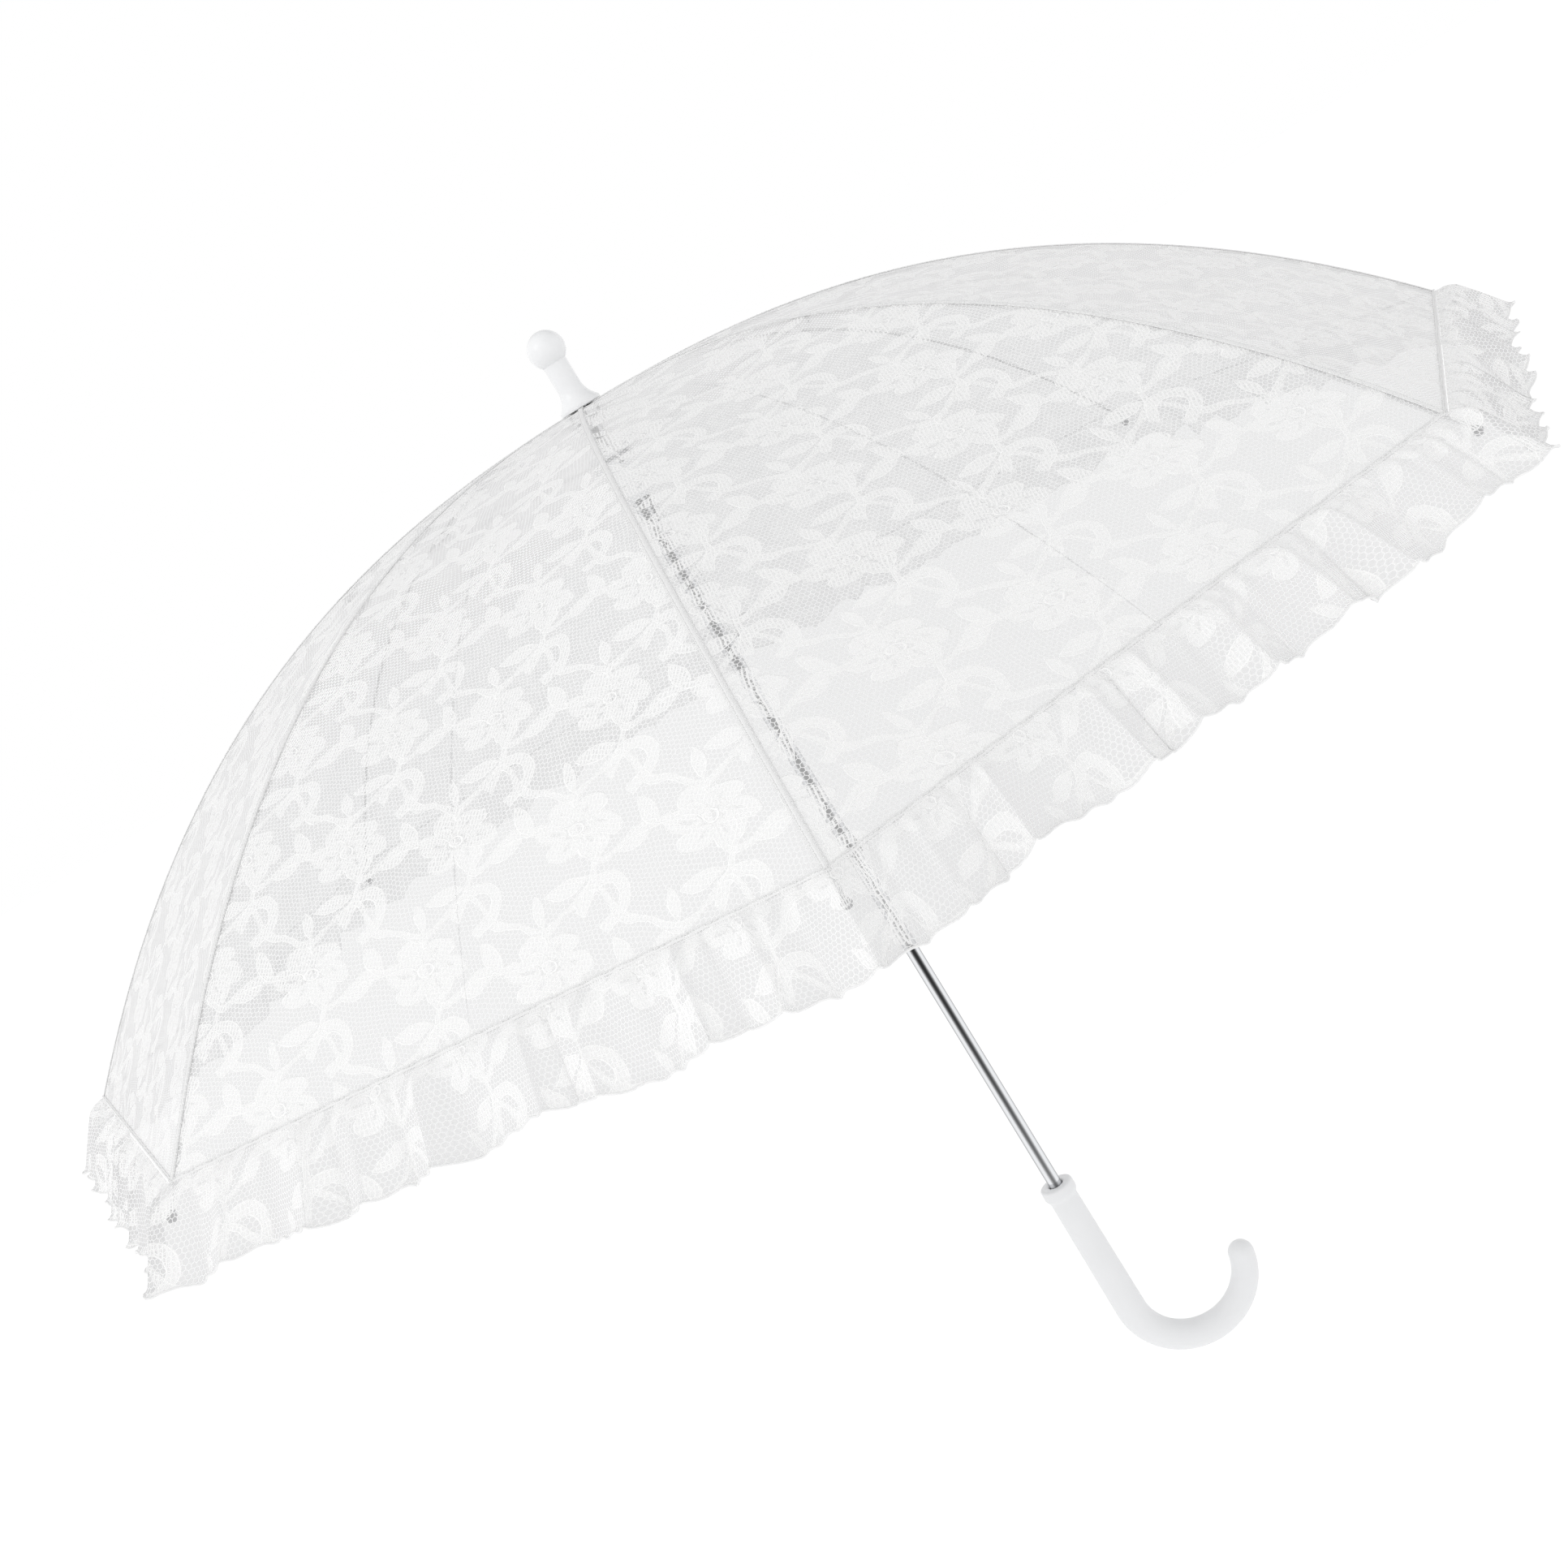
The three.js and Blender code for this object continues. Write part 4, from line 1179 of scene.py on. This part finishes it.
GORE_ROWS = 44
GORE_COLUMNS = 40
PANEL_SAG = 3.2 * MM
UNDER_WASHER = 3.4 * MM  # how far the cloth goes in under the washer
SEAM_WIDTH = 3.0 * MM
TAPE_CROWN = 0.35 * MM
FRILL_SLOPE = math.radians(60)
FRILL_SEWN = 0.5 * MM  # from the rim to the frill, where it is sewn on
FRILL_CLEAR = 5.2 * MM  # the same further down, where it hangs outside the tips' balls
FRILL_CLEARED = 0.17  # the share of its width by which it has got there
BILLOW = 3.0 * MM
CORNER_FLARE = 3.5 * MM
GATHER_DEPTH = 0.9 * MM
CURL_FROM = 0.9  # the share of the frill's width where its edge starts to curl
CURL_DEPTH = 1.6 * MM
CURL_WAVE = 0.7 * MM
FULLNESS = 1.5  # the frill's cut length over the rim it is gathered to
CLOTH_KEEP = 0.05  # the width that gathered cloth keeps when the parasol is closed
FRILL_ROWS = 16
FRILL_COLUMNS = 180
COVER_FILM = 0.55
FRILL_FILM = 0.62


def gore_point(radius, share, lift=0.0):
    """A point of the cover on its rib (share 0) or out to a panel's middle (share -1 or 1)."""
    middle = radius * math.cos(HALF_STEP)
    x = radius + (middle * math.cos(HALF_STEP) - radius) * abs(share)
    y = share * middle * math.sin(HALF_STEP)
    slope = cover_slope(radius)
    length = math.hypot(1, slope)
    along = radius / RIM_RADIUS
    sag = PANEL_SAG * math.sin(math.pi * along) * math.sin(math.pi / 2 * abs(share)) ** 2
    depth = COVER_SHEET / 2 + sag - lift
    return x + slope * depth / length, y, cover_height(radius) - depth / length


def gore_radii():
    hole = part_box("canopy_washer")[1][0] - UNDER_WASHER
    return [hole + (RIM_RADIUS - hole) * (i / GORE_ROWS) ** 0.85 for i in range(GORE_ROWS + 1)]


def rows_to_rim(radii):
    """Length along the cover from each row to the rim."""
    lengths = [0.0]
    for far, near in zip(reversed(radii), reversed(radii[:-1])):
        lengths.append(lengths[-1] + math.hypot(far - near, cover_height(near) - cover_height(far)))
    return list(reversed(lengths))


def grid(name, rows, columns, point, material):
    """A single sheet of `rows` by `columns` cells, facing up and outwards."""
    points = [point(i, k) for i in range(rows + 1) for k in range(columns + 1)]
    wide = columns + 1
    faces = []
    for i in range(rows):
        for k in range(columns):
            corner = i * wide + k
            faces.append((corner, corner + wide, corner + wide + 1, corner + 1))
    return mesh_from(name, points, faces, material)


def map_cloth(obj, columns, spot):
    """Gives each face corner its place on the flat cloth, in metres."""
    layer = obj.data.uv_layers.new(name=CLOTH_MAP)
    wide = columns + 1
    for face in obj.data.polygons:
        left = sum(obj.data.loops[k].vertex_index % wide for k in face.loop_indices) / 4 < columns / 2
        for k in face.loop_indices:
            row, column = divmod(obj.data.loops[k].vertex_index, wide)
            layer.data[k].uv = spot(row, column, left)
    return obj


def soft(obj, number, slot, replaced=()):
    """Cloth rides its rib."""
    finish_piece(obj, f"rib_arm_{number}", replaced, slot)
    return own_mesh(obj, f"rib_hinge_{number}", axis=tangent(number), anchor=(0, 0, 0), keep=CLOTH_KEEP)


def make_gore(number):
    radii = gore_radii()
    lengths = rows_to_rim(radii)
    half_chord = math.sin(HALF_STEP)

    def point(i, k):
        return gore_point(radii[i], 2 * k / GORE_COLUMNS - 1)

    def flat(row, column, left):
        share = abs(2 * column / GORE_COLUMNS - 1)
        aside = (1 - share) * radii[row] * half_chord
        return (aside if left else -aside), lengths[row]

    gore = grid(f"canopy_gore_{number}_fine", GORE_ROWS, GORE_COLUMNS, point,
                lace_material("Cover lace", cloth_settings().bias, COVER_FILM))
    map_cloth(gore, GORE_COLUMNS, flat)
    soft(place(gore, number), number, "lace_cover", [f"canopy_gore_{number}"])


def stitched(tape, path, number):
    """Sews one line of stitches along the path to the tape."""
    stitches = along_path("stitches", stitch_tree(), path, tape_material())
    return join_into(tape, [place(stitches, number)])


def make_seam(number):
    """A narrow tape over the rib, with a line of stitches by each edge."""
    radii = gore_radii()
    half = SEAM_WIDTH / 2
    columns = 6

    def share_at(radius, aside):
        return max(-1, min(1, aside / (radius * math.cos(HALF_STEP) * math.sin(HALF_STEP))))

    def point(i, k):
        aside = half * (2 * k / columns - 1)
        crown = TAPE_CROWN * (1 - (aside / half) ** 2)
        return gore_point(radii[i], share_at(radii[i], aside), 0.15 * MM + crown)

    tape = place(grid(f"seam_{number}", GORE_ROWS, columns, point, tape_material()), number)
    for side in (-1, 1):
        aside = side * half * 0.72
        stitched(tape, [gore_point(radius, share_at(radius, aside), 0.4 * MM) for radius in radii], number)
    soft(tape, number, "lace_cover")


# The frill.


def wander(share, orders):
    """A smooth uneven value round the rim. `share` counts panels, and eight close the ring."""
    return sum(math.sin(2 * math.pi * order * share / RIBS + 1.7 * order) for order in orders) / len(orders)


def flute_phase(panel):
    flutes = round(2 * RIM_RADIUS * math.sin(HALF_STEP) / cloth_settings().flute)
    flutes += 1 - flutes % 2
    uneven = wander(panel, (13, 29, 43)) * math.sin(math.pi * panel) ** 2
    return 2 * math.pi * (flutes * panel + 0.55 * uneven), flutes


def frill_point(number, aside, down):
    """A point of the frill: `aside` from -1 to 1 along the rim, `down` from 0 at the rim to 1."""
    panel = number + aside / 2
    phase, flutes = flute_phase(panel)
    open_out = down**0.8
    depth = cloth_settings().flute_depth * (1 + 0.7 * wander(panel, (7, 19, 31)))
    ridge = math.cos(phase) + 0.22 * math.cos(2 * phase) * (1 - down)
    between_ribs = math.sin(math.pi * panel) ** 2
    billow = BILLOW * wander(panel, (5, 11, 21)) * between_ribs + CORNER_FLARE * (1 - between_ribs) ** 6
    stand = FRILL_SEWN + (FRILL_CLEAR - FRILL_SEWN) * min(1, down / FRILL_CLEARED) ** 0.8
    stand += depth * (0.12 + 0.88 * open_out) * ridge * min(1, down / 0.06) + billow * down
    gathers = math.cos(3 * phase + 2 * wander(panel, (19, 47))) + 0.5 * math.cos(5 * phase)
    stand += GATHER_DEPTH * gathers * min(1, down / 0.1) * (1 - down)
    curl = max(0, down - CURL_FROM) / (1 - CURL_FROM)
    stand += CURL_DEPTH * curl**2
    drop = cloth_settings().frill_width * down * (1 + 0.08 * wander(panel, (11, 23, 37)))
    drop += CURL_WAVE * curl * math.sin(2 * math.pi * panel * flutes * 3 + wander(panel, (17, 41)) * 2)
    radius = RIM_RADIUS + drop * math.cos(FRILL_SLOPE) + stand * math.sin(FRILL_SLOPE)
    height = cover_height(RIM_RADIUS) - drop * math.sin(FRILL_SLOPE) + stand * math.cos(FRILL_SLOPE)
    middle = radius * math.cos(HALF_STEP)
    lean = cloth_settings().flute * 0.05 * open_out * math.sin(2 * phase)
    share = max(-1, min(1, aside - lean / (middle * math.sin(HALF_STEP)) * (1 - abs(aside) ** 20)))
    x = radius + (middle * math.cos(HALF_STEP) - radius) * abs(share)
    y = share * middle * math.sin(HALF_STEP)
    return x, y, height


def make_frill(number):
    panel_width = 2 * RIM_RADIUS * math.sin(HALF_STEP)
    width = cloth_settings().frill_width

    def point(i, k):
        return frill_point(number, 2 * k / FRILL_COLUMNS - 1, i / FRILL_ROWS)

    def flat(row, column, _left):
        return (number + column / FRILL_COLUMNS) * panel_width * FULLNESS, 1 - row / FRILL_ROWS * width

    frill = grid(f"frill_{number}_fine", FRILL_ROWS, FRILL_COLUMNS, point,
                 lace_material("Frill lace", 0.0, FRILL_FILM))
    map_cloth(frill, FRILL_COLUMNS, flat)
    soft(place(frill, number), number, "lace_frill", [f"frill_{number}"])
    hem = make_hem(number)


def make_hem(number):
    """A rolled edge along the frill's free side."""
    path = [frill_point(number, 2 * k / FRILL_COLUMNS - 1, 1.0) for k in range(FRILL_COLUMNS + 1)]
    hem = wire(f"hem_{number}", path, 0.5 * MM, tape_material(), sides=8)
    return soft(place(hem, number), number, "lace_frill")


def make_header(number):
    """The folded tape that the frill is gathered to, stitched along the rim."""
    columns = 120
    rows = 5
    width = 1.5 * MM

    def point(i, k):
        across = i / rows
        crown = TAPE_CROWN * math.sin(math.pi * across)
        pucker = 0.2 * MM * math.cos(2 * math.pi * k / columns * 27)
        return gore_point(RIM_RADIUS - width * (1 - across), 2 * k / columns - 1, 0.4 * MM + crown + pucker)

    header = place(grid(f"header_{number}", rows, columns, point, tape_material()), number)
    line = RIM_RADIUS - width * 0.6
    stitched(header, [gore_point(line, 2 * k / columns - 1, 0.8 * MM) for k in range(columns + 1)], number)
    soft(header, number, "lace_frill")


# Stage, from the view of the finished object.

LEFT_SIDE = Vector((-0.8, -0.45, 0.35)).normalized()


def make_floor():
    material, make, shader = new_material("Pale floor")
    place_node = make.tree.nodes.new("ShaderNodeTexCoord")
    cloud = make.noise(place_node.outputs["Object"], 0.4)[0]
    shade = make.math("MULTIPLY_ADD", cloud, 0.02, 0.93)
    make.feed(shader.inputs["Base Color"], make.grey(shade))
    make.feed(shader.inputs["Emission Color"], make.grey(shade))
    shader.inputs["Emission Strength"].default_value = 0.25
    shader.inputs["Roughness"].default_value = 0.9
    reach, level = 40.0, -1.3
    floor = mesh_from("floor", [(-reach, -reach, level), (reach, -reach, level), (reach, reach, level),
                                (-reach, reach, level)], [(0, 1, 2, 3)], material)


def make_world():
    """White all round the horizon. Higher up it is bright on the left and dim on the right."""
    world = bpy.data.worlds.new("Soft white")
    world.use_nodes = True
    make = Maker(world.node_tree)
    facing = world.node_tree.nodes.new("ShaderNodeTexCoord").outputs["Generated"]
    height = make.ranged(make.vector("DOT_PRODUCT", facing, (0, 0, 1)), 0.3, 0.65, 0, 1)
    overhead = make.ranged(make.vector("DOT_PRODUCT", facing, LEFT_SIDE), -0.5, 0.9, 0.45, 1.15)
    level = make.math("MULTIPLY_ADD", make.less(overhead, 1), height, 1.0)
    background = world.node_tree.nodes["Background"]
    make.feed(background.inputs["Color"], make.grey(level))
    bpy.context.scene.world = world
    bpy.context.scene.view_settings.view_transform = "Standard"


def look_from(spot, target, roll):
    """Axes that look from spot to target, turned about the line of sight."""
    back = (spot - target).normalized()
    right = Vector((0, 0, 1)).cross(back).normalized()
    upward = back.cross(right)
    turned_right = right * math.cos(roll) - upward * math.sin(roll)
    turned_up = right * math.sin(roll) + upward * math.cos(roll)
    axes = Matrix((turned_right, turned_up, back)).transposed().to_4x4()
    axes.translation = spot
    return axes


def make_light(name, spot, size, power):
    lamp = bpy.data.lights.new(name, "AREA")
    lamp.shape = "DISK"
    lamp.size = size
    lamp.energy = power
    light = bpy.data.objects.new(name, lamp)
    bpy.context.collection.objects.link(light)
    light.matrix_world = look_from(Vector(spot), Vector((0, 0, 0.35)), 0)


def make_camera():
    azimuth, elevation, distance = math.radians(2.1), math.radians(10.71), 1.1347
    outward = Vector((math.sin(azimuth) * math.cos(elevation), -math.cos(azimuth) * math.cos(elevation),
                      math.sin(elevation)))
    right = Vector((math.cos(azimuth), math.sin(azimuth), 0))
    target = Vector((0, 0, 0.3315)) - right * 0.0128
    lens = bpy.data.cameras.new("Camera")
    lens.lens = 47.4
    lens.sensor_width = 36
    lens.clip_start = 0.05
    camera = bpy.data.objects.new("Camera", lens)
    bpy.context.collection.objects.link(camera)
    camera.matrix_world = look_from(target + outward * distance, target, math.radians(31.52))
    bpy.context.scene.camera = camera


# Operators, one for each group of pieces.


def need(*names):
    missing = [name for name in names if name not in bpy.data.objects]
    if missing:
        raise RuntimeError(f"not built: {', '.join(missing)}")


class PARASOL_OT_shaft(bpy.types.Operator):
    """Builds the shaft, its catches, the ferrule and the washer"""

    bl_idname = "parasol.shaft"
    bl_label = "Shaft"

    def execute(self, context):
        make_shaft()
        make_catch("top_catch", 1)
        make_catch("bottom_catch", -1)
        make_ferrule()
        need("shaft_tube_fine", "top_catch_fine", "bottom_catch_fine", "ferrule_fine")
        return {"FINISHED"}


class PARASOL_OT_rings(bpy.types.Operator):
    """Builds the crown and the runner, with their wire rings"""

    bl_idname = "parasol.rings"
    bl_label = "Crown and runner"

    def execute(self, context):
        make_crown()
        make_runner()
        need("crown_fine", "crown_wire_fine", "runner_fine", "runner_wire_fine")
        return {"FINISHED"}


class PARASOL_OT_handle(bpy.types.Operator):
    """Builds the hooked handle"""

    bl_idname = "parasol.handle"
    bl_label = "Handle"

    def execute(self, context):
        make_handle()
        need("handle_fine")
        return {"FINISHED"}


class PARASOL_OT_ribs(bpy.types.Operator):
    """Builds the ribs with their tips and clips, and the stretchers"""

    bl_idname = "parasol.ribs"
    bl_label = "Ribs"

    def execute(self, context):
        for number in range(1, RIBS + 1):
            make_rib(number)
            make_tip(number)
            make_clip(number)
            make_stretcher(number)
            need(f"rib_{number}_fine", f"stretcher_{number}_fine")
        return {"FINISHED"}


class PARASOL_OT_cover(bpy.types.Operator):
    """Builds the lace cover with its seams"""

    bl_idname = "parasol.cover"
    bl_label = "Cover"

    def execute(self, context):
        for number in range(1, RIBS + 1):
            make_gore(number)
            make_seam(number)
            need(f"canopy_gore_{number}_fine", f"seam_{number}")
        return {"FINISHED"}


class PARASOL_OT_frill(bpy.types.Operator):
    """Builds the gathered frill with its header and hem"""

    bl_idname = "parasol.frill"
    bl_label = "Frill"

    def execute(self, context):
        for number in range(1, RIBS + 1):
            make_frill(number)
            make_header(number)
            need(f"frill_{number}_fine", f"hem_{number}", f"header_{number}")
        return {"FINISHED"}


class PARASOL_OT_stage(bpy.types.Operator):
    """Sets the floor, the light and the camera"""

    bl_idname = "parasol.stage"
    bl_label = "Stage"

    def execute(self, context):
        make_floor()
        make_world()
        make_light("key", (-1.6, -1.2, 2.2), 1.4, 4)
        make_camera()
        need("floor", "key", "Camera")
        return {"FINISHED"}


OPERATORS = (
    PARASOL_OT_shaft,
    PARASOL_OT_rings,
    PARASOL_OT_handle,
    PARASOL_OT_ribs,
    PARASOL_OT_cover,
    PARASOL_OT_frill,
    PARASOL_OT_stage,
)


class PARASOL_PT_panel(bpy.types.Panel):
    """Lists the parasol's steps"""

    bl_idname = "PARASOL_PT_panel"
    bl_label = "Lace parasol"
    bl_space_type = "VIEW_3D"
    bl_region_type = "UI"
    bl_category = "Parasol"

    def draw(self, context):
        for operator in OPERATORS:
            self.layout.operator(operator.bl_idname)


CLASSES = (ParasolCloth, ParasolFrame, *OPERATORS, PARASOL_PT_panel)


def register():
    for each in CLASSES:
        bpy.utils.register_class(each)
    bpy.types.Scene.parasol_cloth = PointerProperty(type=ParasolCloth)
    bpy.types.Scene.parasol_frame = PointerProperty(type=ParasolFrame)


def unregister():
    del bpy.types.Scene.parasol_frame
    del bpy.types.Scene.parasol_cloth
    for each in reversed(CLASSES):
        bpy.utils.unregister_class(each)


def main():
    register()
    bpy.ops.parasol.shaft()
    bpy.ops.parasol.rings()
    bpy.ops.parasol.handle()
    bpy.ops.parasol.ribs()
    bpy.ops.parasol.cover()
    bpy.ops.parasol.frill()
    bpy.ops.parasol.stage()


if __name__ == "__main__":
    main()
